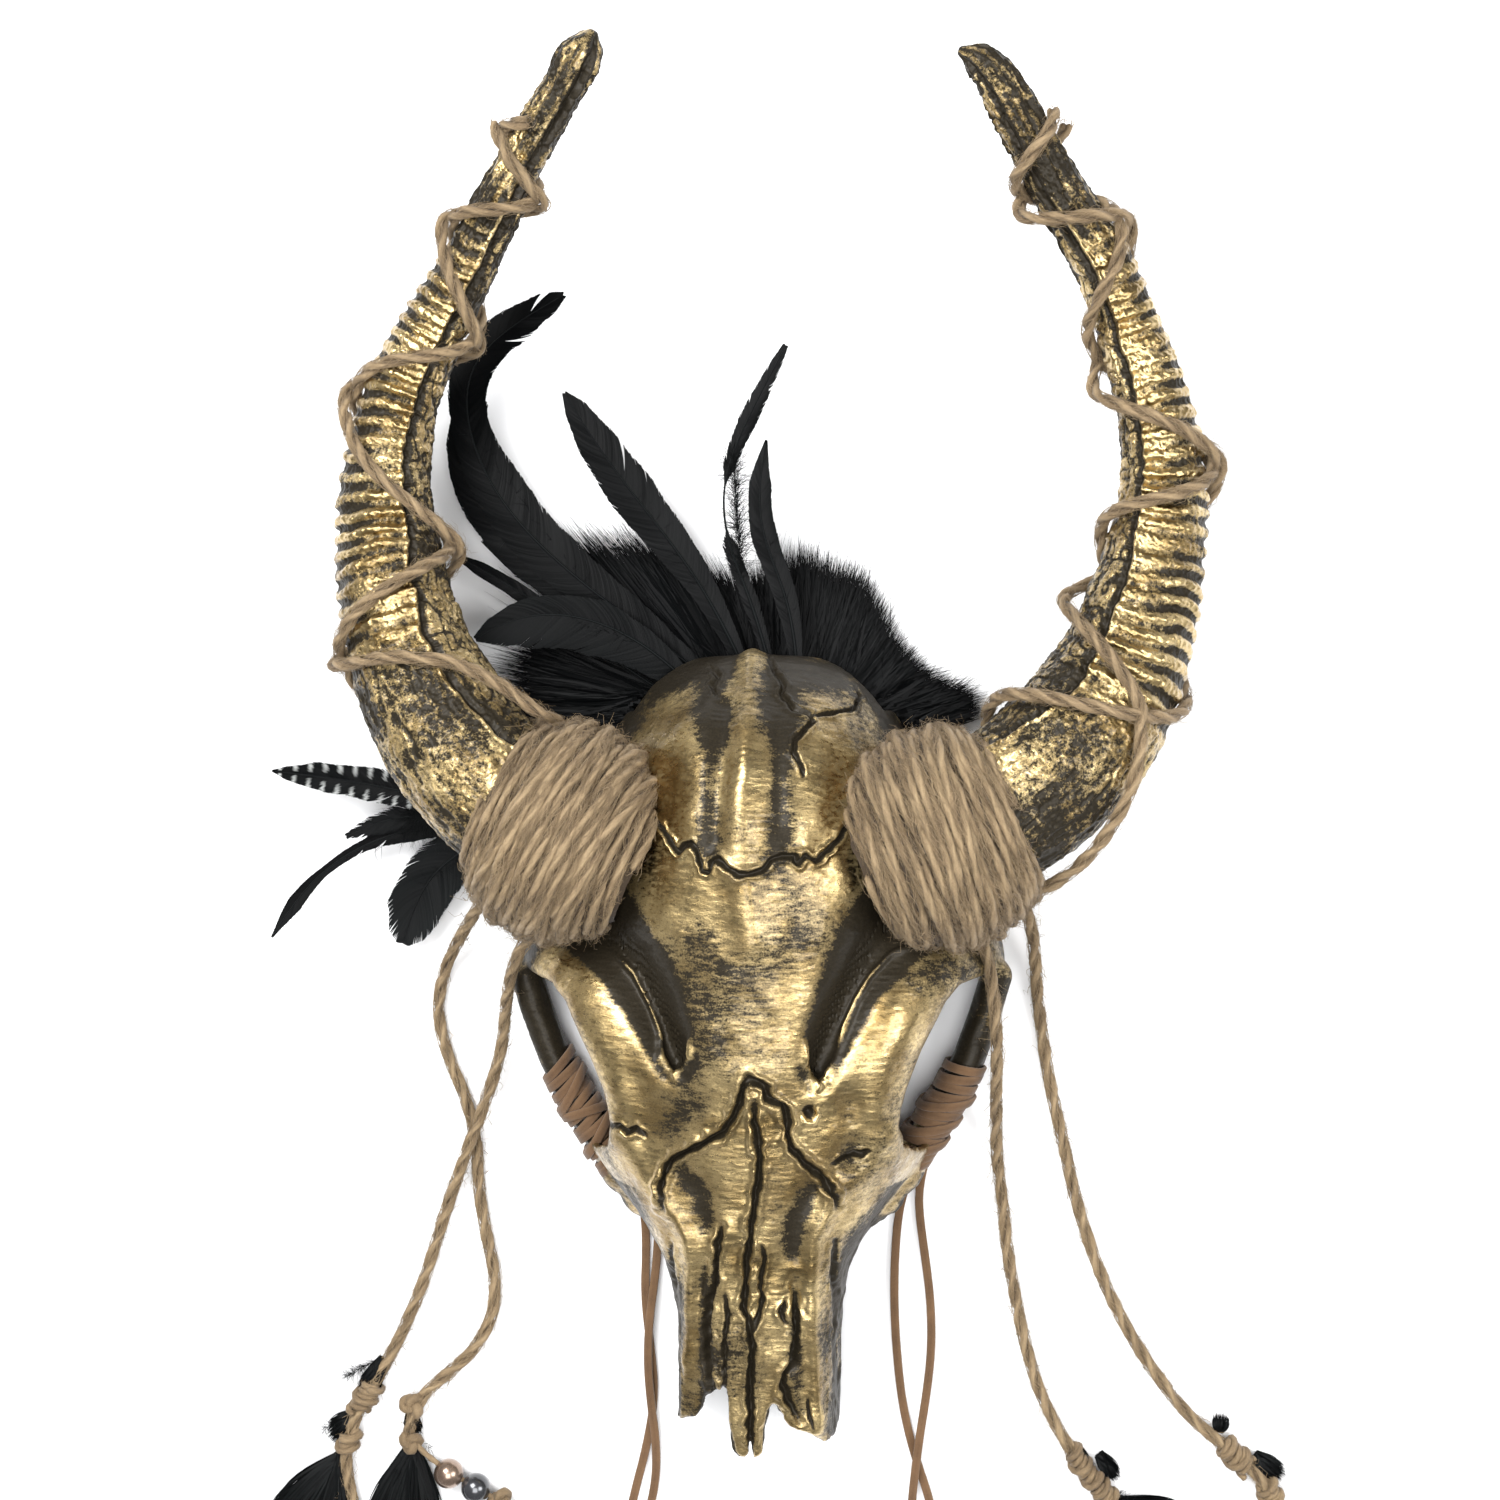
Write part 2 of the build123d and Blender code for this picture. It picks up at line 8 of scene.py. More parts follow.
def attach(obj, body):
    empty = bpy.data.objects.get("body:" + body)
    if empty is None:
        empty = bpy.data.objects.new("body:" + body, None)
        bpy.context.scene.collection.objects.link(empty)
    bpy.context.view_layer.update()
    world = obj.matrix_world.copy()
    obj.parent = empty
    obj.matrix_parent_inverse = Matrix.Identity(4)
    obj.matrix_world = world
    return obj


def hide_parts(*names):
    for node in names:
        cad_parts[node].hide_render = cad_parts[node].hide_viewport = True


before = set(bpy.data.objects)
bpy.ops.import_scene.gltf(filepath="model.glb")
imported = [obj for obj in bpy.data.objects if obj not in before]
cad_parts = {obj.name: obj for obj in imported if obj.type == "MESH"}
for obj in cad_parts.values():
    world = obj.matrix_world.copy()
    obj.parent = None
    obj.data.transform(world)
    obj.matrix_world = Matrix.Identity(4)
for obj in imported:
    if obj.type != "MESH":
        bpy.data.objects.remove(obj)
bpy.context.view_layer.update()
mm = 0.001
print("frame loaded")


# helpers for numbers and meshes
def runOf(line):  # distance from the start at each point of a line
    return np.concatenate([[0], np.cumsum(np.linalg.norm(np.diff(line[:, :3], axis=0), axis=1))])


def unit(v):
    return v / np.maximum(np.linalg.norm(v, axis=-1, keepdims=True), 1e-9)


def bell(distance, width):
    return np.exp(-(distance / width) ** 2)


def smoothMax(a, b, k):
    h = np.clip(0.5 + 0.5 * (a - b) / k, 0, 1)
    return b + (a - b) * h + k * h * (1 - h)


def smoothMin(a, b, k):
    return -smoothMax(-a, -b, k)


def latticeNoise(p, seed):  # value noise from -1 to 1, one cell to a unit
    table = np.random.default_rng(seed).uniform(-1, 1, (32, 32, 32)).astype(np.float32)
    cell = np.floor(p).astype(int)
    part = p - cell
    part = part * part * (3 - 2 * part)
    out = np.zeros(len(p), np.float32)
    for i in (0, 1):
        for j in (0, 1):
            for k in (0, 1):
                weight = (np.where(i, part[:, 0], 1 - part[:, 0]) * np.where(j, part[:, 1], 1 - part[:, 1])
                          * np.where(k, part[:, 2], 1 - part[:, 2]))
                out += weight * table[(cell[:, 0] + i) % 32, (cell[:, 1] + j) % 32, (cell[:, 2] + k) % 32]
    return out


def noiseAlong(u, seed, shift=0.0):  # the same noise along one value
    return latticeNoise(np.stack([u, u * 0, u * 0], 1) + shift, seed)


def smoothLine(knots, count):  # natural cubic through the knots, count even steps in knot distance
    knots = np.asarray(knots, float)
    run = runOf(knots)
    n = len(knots)
    a, b = np.zeros((n, n)), np.zeros((n, knots.shape[1]))
    a[0, 0] = a[-1, -1] = 1
    gap = np.diff(run)
    for i in range(1, n - 1):
        a[i, i - 1:i + 2] = gap[i - 1], 2 * (gap[i - 1] + gap[i]), gap[i]
        b[i] = 6 * ((knots[i + 1] - knots[i]) / gap[i] - (knots[i] - knots[i - 1]) / gap[i - 1])
    bend = np.linalg.solve(a, b)
    at = np.linspace(0, run[-1], count)
    i = np.clip(np.searchsorted(run, at, side="right") - 1, 0, n - 2)
    t, g = (at - run[i])[:, None], gap[i][:, None]
    u = g - t
    line = (bend[i] * u ** 3 + bend[i + 1] * t ** 3) / (6 * g) + (knots[i] / g - bend[i] * g / 6) * u \
        + (knots[i + 1] / g - bend[i + 1] * g / 6) * t
    return line, at


def carriedFrames(line, first=(0, 0, 1)):  # two cross directions that turn as little as they can
    along = unit(np.gradient(line, axis=0))
    side = np.zeros_like(line)
    last = np.asarray(first, float)
    for i, t in enumerate(along):
        last = last - t * last.dot(t)
        last = last / max(np.linalg.norm(last), 1e-9)
        side[i] = last
    return along, side, np.cross(along, side)


def meshObject(name, points, faces, material, smooth=True):
    points = np.ascontiguousarray(points, np.float32).reshape(-1, 3)
    faces = np.ascontiguousarray(faces, np.int32)
    mesh = bpy.data.meshes.new(name)
    mesh.vertices.add(len(points))
    mesh.vertices.foreach_set("co", points.ravel())
    mesh.loops.add(faces.size)
    mesh.loops.foreach_set("vertex_index", faces.ravel())
    mesh.polygons.add(len(faces))
    mesh.polygons.foreach_set("loop_start", np.arange(0, faces.size, faces.shape[1], dtype=np.int32))
    mesh.update(calc_edges=True)
    mesh.validate()
    if smooth:
        mesh.polygons.foreach_set("use_smooth", np.ones(len(mesh.polygons), bool))
    obj = bpy.data.objects.new(name, mesh)
    bpy.context.scene.collection.objects.link(obj)
    if material:
        mesh.materials.append(material)
    return obj


def paintMask(obj, name, values):
    layer = obj.data.attributes.new(name, "FLOAT", "POINT")
    layer.data.foreach_set("value", np.ascontiguousarray(values, np.float32))


def gridFaces(rows, columns, closed):  # quads over a grid of points, with its columns joined up if closed
    r, c = np.meshgrid(np.arange(rows - 1), np.arange(columns if closed else columns - 1), indexing="ij")
    a, b = r * columns + c, r * columns + (c + 1) % columns
    return np.stack([a, b, b + columns, a + columns], -1).reshape(-1, 4)


def tubes(lines, radii, sides):  # many tubes at once: lines (n, k, 3), radii (n, k)
    n, k, _ = lines.shape
    along = unit(np.gradient(lines, axis=1))
    guide = np.where(np.abs(along[:, :1, 2:]) > 0.8, np.array([1.0, 0, 0]), np.array([0, 0, 1.0]))
    side = unit(np.cross(along, guide))
    up = np.cross(side, along)
    turn = np.arange(sides) * 2 * np.pi / sides
    ring = np.cos(turn)[:, None] * side[:, :, None] + np.sin(turn)[:, None] * up[:, :, None]
    points = lines[:, :, None] + ring * np.broadcast_to(radii, (n, k))[:, :, None, None]
    faces = gridFaces(k, sides, True)
    return points.reshape(-1, 3), (faces[None] + (np.arange(n) * k * sides)[:, None, None]).reshape(-1, 4)


def ribbons(lines, across, halfWidths):  # many flat ribbons at once
    n, k, _ = lines.shape
    reach = across * halfWidths[..., None]
    points = np.stack([lines - reach, lines + reach], 2)
    faces = gridFaces(k, 2, False)
    return points.reshape(-1, 3), (faces[None] + (np.arange(n) * k * 2)[:, None, None]).reshape(-1, 4)


def joined(parts):  # one list of points and faces from several
    points, faces, start = [], [], 0
    for p, f in parts:
        points.append(p)
        faces.append(f + start)
        start += len(p)
    return np.concatenate(points), np.concatenate(faces)


# camera
camera = {"place": (0.042, -0.012, 0.9), "aim": (-0.003, 0, 0.03), "lens": 59.4}


def placeCamera(s):
    place, aim = Vector(s["place"]), Vector(s["aim"])
    back = (place - aim).normalized()
    up = (Vector((0, 1, 0)) - back * back.y).normalized()
    data = bpy.data.cameras.new("camera")
    data.lens, data.sensor_width, data.clip_end = s["lens"], 36, 30
    obj = bpy.data.objects.new("camera", data)
    obj.matrix_world = Matrix.Translation(place) @ Matrix((up.cross(back), up, back)).transposed().to_4x4()
    bpy.context.scene.collection.objects.link(obj)
    bpy.context.scene.camera = obj


placeCamera(camera)
print("camera placed")


# helpers for materials
def addNode(tree, kind, inputs=None, **settings):
    node = tree.nodes.new("ShaderNode" + kind)
    for key, value in settings.items():
        setattr(node, key, value)
    for key, value in (inputs or {}).items():
        if isinstance(value, bpy.types.NodeSocket):
            tree.links.new(value, node.inputs[key])
        else:
            node.inputs[key].default_value = value
    return node


def mixColor(tree, factor, a, b, blend="MIX"):
    node = addNode(tree, "Mix", data_type="RGBA", blend_type=blend)
    for key, value in ((0, factor), (6, a), (7, b)):
        if isinstance(value, bpy.types.NodeSocket):
            tree.links.new(value, node.inputs[key])
        else:
            node.inputs[key].default_value = (*value, 1) if hasattr(value, "__len__") else value
    return node.outputs[2]


def mathNode(tree, operation, a, b=0.0, clamp=False):
    return addNode(tree, "Math", {0: a, 1: b}, operation=operation, use_clamp=clamp).outputs[0]


def rangeNode(tree, value, low, high, toLow=0.0, toHigh=1.0):
    return addNode(tree, "MapRange", {0: value, 1: low, 2: high, 3: toLow, 4: toHigh}).outputs[0]


def noiseNode(tree, vector, scale, detail=3.0, rough=0.6):
    return addNode(tree, "TexNoise", {"Vector": vector, "Scale": scale, "Detail": detail,
                                      "Roughness": rough}).outputs[0]


def newGroup(name, inputs, outputs):  # inputs and outputs: name and socket kind
    group = bpy.data.node_groups.new(name, "ShaderNodeTree")
    for label, kind in inputs:
        group.interface.new_socket(label, in_out="INPUT", socket_type="NodeSocket" + kind)
    for label, kind in outputs:
        group.interface.new_socket(label, in_out="OUTPUT", socket_type="NodeSocket" + kind)
    return group, group.nodes.new("NodeGroupInput").outputs, group.nodes.new("NodeGroupOutput").inputs


def newMaterial(name):
    material = bpy.data.materials.new(name)
    material.use_nodes = True
    tree = material.node_tree
    tree.nodes.clear()
    shader = addNode(tree, "BsdfPrincipled")
    addNode(tree, "OutputMaterial", {"Surface": shader.outputs[0]})
    return material, tree, shader.inputs


def connect(tree, pairs):
    for source, target in pairs:
        tree.links.new(source, target)


def brushedGoldGroup():  # gold brushed over black: patches, brush marks, black left in hollows and painted shade from the shade input
    g, i, o = newGroup("brushedGold", [("Place", "Vector"), ("Cover", "Float"), ("ShadeAndDarkPaint", "Float"),
                                       ("Streak", "Vector"),
                                ("Softness", "Float")],
                       [("Color", "Color"), ("Metal", "Float"), ("Roughness", "Float"), ("Height", "Float"),
                        ("Gloss", "Float")])
    stretched = addNode(g, "VectorMath", {0: i["Place"], 1: i["Streak"]}, operation="MULTIPLY").outputs[0]
    patch = noiseNode(g, i["Place"], 26, 4, 0.55)
    marks = noiseNode(g, stretched, 420, 5, 0.72)
    specks = noiseNode(g, i["Place"], 1500, 2, 0.6)
    amount = mathNode(g, "ADD", mathNode(g, "MULTIPLY", patch, 1.9), mathNode(g, "MULTIPLY", marks, 1.35))
    amount = mathNode(g, "ADD", amount, mathNode(g, "MULTIPLY", specks, 0.6))
    amount = mathNode(g, "ADD", amount, i["Cover"])
    # the shade input darkens the gold: painted shade in recesses and on turned-away sides, painted highlight
    # where it is below zero, and black paint in hollows
    amount = mathNode(g, "SUBTRACT", amount, mathNode(g, "MULTIPLY", i["ShadeAndDarkPaint"], 1.6))
    edges = [mathNode(g, "SUBTRACT", 1.74, i["Softness"]), mathNode(g, "ADD", 1.74, i["Softness"])]
    cover = addNode(g, "MapRange", {0: amount, 1: edges[0], 2: edges[1]}).outputs[0]
    tone = noiseNode(g, i["Place"], 60, 4, 0.6)
    gold = mixColor(g, rangeNode(g, tone, 0.35, 0.65), (0.25, 0.170, 0.066), (0.57, 0.430, 0.205))
    black = mixColor(g, specks, (0.007, 0.006, 0.004), (0.036, 0.028, 0.017))
    connect(g, [(mixColor(g, cover, black, gold), o["Color"]),
                (rangeNode(g, cover, 0, 1, 0.25, 1.0), o["Metal"]),
                (rangeNode(g, mathNode(g, "ADD", cover, marks), 0.4, 1.7, 0.48, 0.25), o["Roughness"]),
                (mathNode(g, "ADD", mathNode(g, "MULTIPLY", cover, 0.5), marks), o["Height"]),
                (rangeNode(g, cover, 0, 1, 0.06, 0.4), o["Gloss"])])
    return g


brushedGold = brushedGoldGroup()


def goldMaterial(name, s):
    material, tree, shader = newMaterial(name)
    place = addNode(tree, "TexCoord").outputs["Object"]
    shadeAndDarkPaint = addNode(tree, "Attribute", attribute_name="shadeAndDarkPaint").outputs["Fac"]
    inner = addNode(tree, "Attribute", attribute_name="inner").outputs["Fac"]
    # painted shade and highlight with black in hollows, plus the unpainted black inside of the shell, which
    # is real
    shade = mathNode(tree, "ADD", shadeAndDarkPaint, mathNode(tree, "MULTIPLY", inner, 4))
    node = addNode(tree, "Group", node_tree=brushedGold)
    connect(tree, [(place, node.inputs["Place"]), (shade, node.inputs["ShadeAndDarkPaint"])])
    node.inputs["Cover"].default_value = s["cover"]
    node.inputs["Streak"].default_value = s["streak"]
    node.inputs["Softness"].default_value = s["softness"]
    bump = addNode(tree, "Bump", {"Height": node.outputs["Height"], "Strength": s["bump"],
                                  "Distance": 0.0006})
    connect(tree, [(node.outputs["Color"], shader["Base Color"]), (node.outputs["Metal"], shader["Metallic"]),
                   (node.outputs["Roughness"], shader["Roughness"]), (bump.outputs[0], shader["Normal"]),
                   (node.outputs["Gloss"], shader["Coat Weight"])])
    shader["Specular IOR Level"].default_value = 0.12
    shader["Coat Roughness"].default_value = 0.12
    return material


skullGold = goldMaterial("skullGold", {"cover": -0.03, "streak": (0.45, 1.5, 1.0), "softness": 0.27,
                                       "bump": 0.25})
hornGold = goldMaterial("hornGold", {"cover": -0.04, "streak": (1.0, 1.0, 1.0), "softness": 0.15,
                                     "bump": 0.5})
print("gold mixed")

# skull
skull = {
    # y, half width of the rim, height of the middle, squareness of the slice, all in millimetres
    "slices": [
        (34, 30, 42, 2.2), (26, 40, 57, 2.1), (16, 48, 70, 2.0), (0, 57, 84, 1.9), (-18, 65, 90, 1.8),
        (-40, 75, 92, 1.75), (-70, 88, 90, 1.75), (-90, 87, 87, 1.8), (-108, 81, 84, 1.85),
        (-126, 73, 79, 1.9), (-144, 60, 74, 2.1), (-161, 44, 70, 2.8), (-179, 32, 64, 3.5),
        (-197, 29, 60, 3.8), (-220, 28, 54, 3.8), (-244, 28, 48, 3.8), (-268, 28, 42, 3.8),
    ],
    "wall": 3.6,
    "step": 1.0,
    "eye": [(98, -77), (80, -78), (70, -80.5), (65, -86), (56.5, -102.7), (51.3, -116.3), (49, -128),
            (51, -136), (56, -139), (98, -141)],
    "arch": [(84, -80, 16), (79.5, -95, 13), (74, -110, 13), (67, -123, 13), (59, -136, 13), (50, -150, 14)],
    "muzzleEnd": [
        (-40, -236), (-28, -234), (-25, -231.5), (-21, -230.5), (-18.5, -227), (-17.5, -222.5), (-14.5, -220),
        (-11, -218), (-10, -219), (-9, -232), (-7.5, -241), (-5.5, -243.6), (-3.2, -243), (-2, -238),
        (-1.4, -243), (0.5, -243.6), (2, -242), (3, -232), (4.5, -226), (6.5, -223.5), (8.5, -227),
        (11, -232), (19, -235.5), (23, -239.5), (25.5, -240), (40, -236), (40, -262), (-40, -262),
    ],
    # broad forms: line, how far it stands out, half width at both ends
    "forms": [
        ([(-1.5, 34), (-1, 8), (-3, -14), (-2.5, -40), (0.5, -62)], 2.4, 4, 6),
        ([(-20, 6), (-19, -26)], 2.0, 9, 9),
        ([(18, 6), (18, -28)], 1.4, 10, 10),
        ([(-9, 14), (-11, -30)], -1.6, 3.5, 3.5),
        ([(8, 16), (9, -24)], -1.3, 3.5, 3.5),
        ([(-62, -55), (-50, -63), (-41, -72), (-34.5, -84), (-29, -95), (-25.5, -104)], -9, 12.5, 5.2),
        ([(57, -50), (47, -59), (40, -70), (32.5, -82), (26.5, -95), (21.8, -107)], -9, 12.5, 4.8),
        ([(-73, -80), (-62, -88), (-55, -97.5), (-50, -107.5), (-47, -117.5), (-44, -129)], 4.2, 11, 8),
        ([(73, -78), (60, -84), (53, -92), (47.5, -102), (44, -113.5), (41, -129)], 4.2, 11, 8),
        ([(-18.5, -119), (-24.5, -123.5), (-30, -128)], -1.5, 6.5, 7),
        ([(-52, -131), (-44, -140), (-37, -146)], 2.5, 6, 6),
        ([(50, -131), (42, -140), (33, -146)], 2.5, 6, 6),
        ([(-38, -131), (-44, -128)], -1.8, 4, 5),
        ([(33, -120), (37, -128), (34, -136)], -2.4, 6, 5),
        ([(-31, -153), (-26, -160), (-23.3, -165), (-22, -175), (-23.5, -196), (-25.5, -218), (-27, -234)],
         2.2, 3.4, 2.6),
        ([(26, -150), (24, -158), (20.5, -166), (20, -184), (20, -194), (21, -209), (22, -234)], 2.2, 3.4,
         2.6),
        ([(-24, -142), (-18, -150), (-16, -160)], -1.6, 5, 5),
        ([(20, -148), (14, -158), (13, -170)], -1.8, 5, 4),
        ([(-17, -176), (-17, -226)], -1.6, 3, 3.4),
        ([(14, -180), (14, -228)], -1.6, 3, 4.6),
    ],
    # cheek lumps: centre and radius
    "lumps": [(49, -150, 15, 8), (43, -158, 18, 7.5), (38, -163, 12, 7), (54, -143, 9, 5), (-49, -151, 14, 7),
              (-42, -159, 17, 7), (-36, -166, 12, 6)],
    # cut lines: line, depth, half width, height of the lip on each side
    "cuts": [
        ([(-36, -20), (-31, -25.5), (-28.5, -29), (-26, -33), (-24, -34.5), (-22, -32), (-19, -31.5),
          (-17.5, -34), (-16.5, -37.5), (-15.5, -40.5), (-13.5, -41), (-12.5, -37.5), (-10.5, -36.5),
          (-7.5, -39.5), (-3.5, -41.5), (0.5, -41.5), (4.5, -40), (7.5, -36.5), (11, -35.5), (14.5, -35.5),
          (16, -38), (18.5, -35.5), (22, -37.5), (24, -35.5), (27, -32.5), (30, -28.5), (34, -22)], 1.9, 0.95,
          0.5),
        ([(4, 33), (7, 26.5), (10.5, 21), (9.5, 18.5), (13.5, 13.5), (19, 11.5), (20, 9), (18, 6.5),
          (14.5, 2.5), (14, -1.5), (16.5, -6), (17.5, -9.5)], 1.5, 0.9, 0.5),
        ([(20, 11), (26.5, 12), (33.5, 13.5), (35.5, 17.5), (34, 22)], 1.4, 0.8, 0.5),
        ([(-16.5, 28.5), (-12.5, 25), (-14.5, 21.5), (-12, 17.5)], 1.3, 0.9, 0.4),
        ([(-43, 24), (-50, 18.5), (-53.5, 14.5), (-55, 6)], 2.2, 1.2, 0.5),
        ([(44, 20), (50, 12), (54, 4)], 1.6, 1.2, 0.5),
        ([(-1, -109), (-2.5, -113), (-4, -118), (-6.5, -123), (-10, -128), (-16, -131.5), (-22, -135),
          (-27.5, -138.5), (-30, -144), (-31.3, -149), (-31.5, -156)], 2.6, 1.35, 1.1),
        ([(-1, -109), (2, -110.5), (4.5, -112), (5.5, -116), (10.5, -118), (12, -122), (12, -128.5),
          (13.5, -133.5), (17.5, -138.5), (23, -143.5), (26.8, -149), (28.5, -154)], 2.6, 1.35, 1.1),
        ([(1, -117), (1, -123.5), (2, -129.5), (3, -136.5), (2, -144), (0.5, -154), (-1, -163.5),
          (-2, -170.5), (-2.5, -178.5), (-3, -183.5), (-3.5, -189.5), (-1.5, -195.5), (-0.8, -203.5),
          (-1.7, -213.5), (-1.5, -224), (-1.8, -234), (-2, -243)], 2.7, 1.3, 0.9),
        ([(3, -167), (3.8, -173.5), (2, -178.5), (2.8, -185.5), (1.5, -191.5), (-0.5, -198)], 2.2, 0.9, 0.5),
        ([(-10.5, -160), (-12, -166), (-12.5, -174), (-13.5, -181), (-15.5, -188), (-16, -196), (-16.5, -206),
          (-15.5, -214), (-14, -221)], 2.6, 1.3, 0.7),
        ([(-9.5, -185), (-9, -193.5), (-10.2, -201.5), (-10.2, -210), (-10.5, -219)], 1.8, 0.9, 0.5),
        ([(13.5, -181), (14, -193.5), (14, -201.5), (13, -208.5), (10, -213), (9.5, -216.5), (11.5, -223),
          (15, -231)],
         2.6, 1.5, 0.8),
        ([(10.8, -186), (9, -190.5), (10.5, -195)], 1.9, 0.9, 0.5),
        ([(17.5, -222), (18.5, -228), (20, -234)], 1.4, 0.7, 0.4),
        ([(-48.5, -128), (-45, -127.5), (-42.5, -129.5), (-39, -128), (-36.5, -130.5)], 2.2, 1.1, 0.6),
        ([(27, -139), (29.5, -137.5), (34, -136), (36, -136.8), (38.5, -135.5)], 1.8, 1.0, 0.5),
        ([(27.6, -166), (26.6, -178), (27.6, -190), (26.6, -206), (27.2, -222), (26.4, -236)], 1.6, 1.3, 0.4),
        ([(-29, -168), (-28, -182), (-28.6, -200), (-27.8, -218), (-28.2, -232)], 1.6, 1.3, 0.4),
    ],
    # raised wires: the lips of the tear pits and the walls above them, which also carry a painted highlight
    "wires": [
        ([(-31.5, -99), (-31, -103.5), (-29, -107.5), (-25.5, -109.8), (-21.8, -107), (-19.8, -102),
          (-20.5, -96)], 2.4, 1.3),
        ([(18, -97), (17.3, -104), (18.8, -110), (21.8, -112.8), (25.3, -110.5), (28.3, -103)], 2.4, 1.3),
        ([(-46.5, -70.5), (-40, -76), (-34.5, -86), (-31.5, -95.5), (-31, -101)], 1.8, 1.2),
        ([(56, -66), (46, -70), (39, -77), (34.5, -85), (31, -94), (28.3, -102)], 1.8, 1.2),
        ([(17, -121.5), (18, -124.3), (20.5, -124.6), (22, -122), (21.4, -119)], 1.1, 0.8),
    ],
    "pit": (19.4, -121.3, 2.0, 3.4),
}


def lineDistance(points, x, y):  # plan distance to a line of points, and how far along it, 0 to 1
    points = np.asarray(points, float)
    best, along = np.full(np.shape(x), 1e9, np.float32), np.zeros(np.shape(x), np.float32)
    for i, (a, b) in enumerate(zip(points[:-1, :2], points[1:, :2])):
        d = b - a
        t = np.clip(((x - a[0]) * d[0] + (y - a[1]) * d[1]) / d.dot(d), 0, 1)
        gap = np.hypot(x - a[0] - t * d[0], y - a[1] - t * d[1])
        closer = gap < best
        best = np.where(closer, gap, best)
        along = np.where(closer, (i + t) / (len(points) - 1), along)
    return best, along


def regionDistance(outline, x, y):  # negative inside a closed outline
    outline = np.asarray(outline + outline[:1], float)
    gap, _ = lineDistance(outline, x, y)
    odd = np.zeros(np.shape(x), bool)
    for a, b in zip(outline, outline[1:]):
        crosses = (a[1] > y) != (b[1] > y)
        rise = b[1] - a[1] if b[1] != a[1] else 1e-9
        odd ^= crosses & (x < a[0] + (y - a[1]) * (b[0] - a[0]) / rise)
    return np.where(odd, -gap, gap)


def sliceAt(s, y):  # half width, height and squareness, smoothed along y
    table = np.array(s["slices"][::-1], float)
    near = [np.interp(y + shift, table[:, 0], table[:, k]) for k in (1, 2, 3) for shift in (-6, -3, 0, 3, 6)]
    return [sum(near[5 * k:5 * k + 5]) / 5 for k in range(3)]


def outerForm(s, x, y, z):  # rough distance to the skull's plain outer form
    w, h, n = sliceAt(s, y)
    up = np.maximum(z, 0)
    f = ((np.abs(x) / w) ** n + (up / h) ** n) ** (1 / n)
    return (f - 1) * np.sqrt(x * x + up * up) / np.maximum(f, 0.05)


def broadForms(s, x, y):
    total = np.zeros(np.shape(x), np.float32)
    for line, rise, startWidth, endWidth in s["forms"]:
        gap, along = lineDistance(line, x, y)
        total += rise * bell(gap, startWidth + (endWidth - startWidth) * along)
    return total


def skullField(s):
    step = s["step"]
    xs, ys, zs = (np.arange(a, b, step, dtype=np.float32) for a, b in ((-95, 96), (-250, 39), (-4, 104)))
    x, y, z = xs[:, None, None], ys[None, :, None], zs[None, None, :]
    form = outerForm(s, x, y, z)
    slope = np.sqrt(sum(g * g for g in np.gradient(form, step)))
    form = form / np.clip(slope, 0.7, 2.0)
    form = smoothMax(form, y - 33, 7)
    plan = np.meshgrid(xs, ys, indexing="ij")
    outer = form - broadForms(s, *plan)[:, :, None] * np.clip((z - 8) / 25, 0, 1)
    shell = smoothMax(outer,
                      -(smoothMax(form, y - 29, 7) + np.maximum(0, -broadForms(s, *plan) * 0.75)[:, :, None]
                        + s["wall"]), 1.5)
    eye = np.minimum(regionDistance(s["eye"], *plan), regionDistance([(-a, b) for a, b in s["eye"]], *plan))
    shell = smoothMax(shell, -np.maximum(eye[:, :, None], 19 - z), 3.0)
    end = regionDistance(s["muzzleEnd"], *plan)
    shell = smoothMax(shell, -end[:, :, None], 1.6)
    window = np.maximum(np.maximum(np.abs(z - 17) - 13, 14 - y), np.abs(x) - 60)
    shell = np.maximum(shell, -window)
    shell = np.maximum(shell, -np.maximum(z - 7, np.abs(y + 142) - 32))
    for side in (1, -1):
        gap = np.full(shell.shape, 1e9, np.float32)
        for (ax, ay, az), (bx, by, bz) in zip(s["arch"], s["arch"][1:]):
            a, d = np.array((ax * side, ay, az)), np.array(((bx - ax) * side, by - ay, bz - az))
            t = np.clip(((x - a[0]) * d[0] + (y - a[1]) * d[1] + (z - a[2]) * d[2]) / d.dot(d), 0, 1)
            gap = np.minimum(gap, np.sqrt((x - a[0] - t * d[0]) ** 2 + (y - a[1] - t * d[1]) ** 2
                                          + ((z - a[2] - t * d[2]) * 0.8) ** 2) - 5.6)
        shell = smoothMin(shell, gap, 3.5)
    for lx, ly, lz, r in s["lumps"]:
        shell = smoothMin(shell, np.sqrt((x - lx) ** 2 + (y - ly) ** 2 + (z - lz) ** 2) - r, 4)
    return np.maximum(shell, 0.02 - z), (xs[0], ys[0], zs[0])


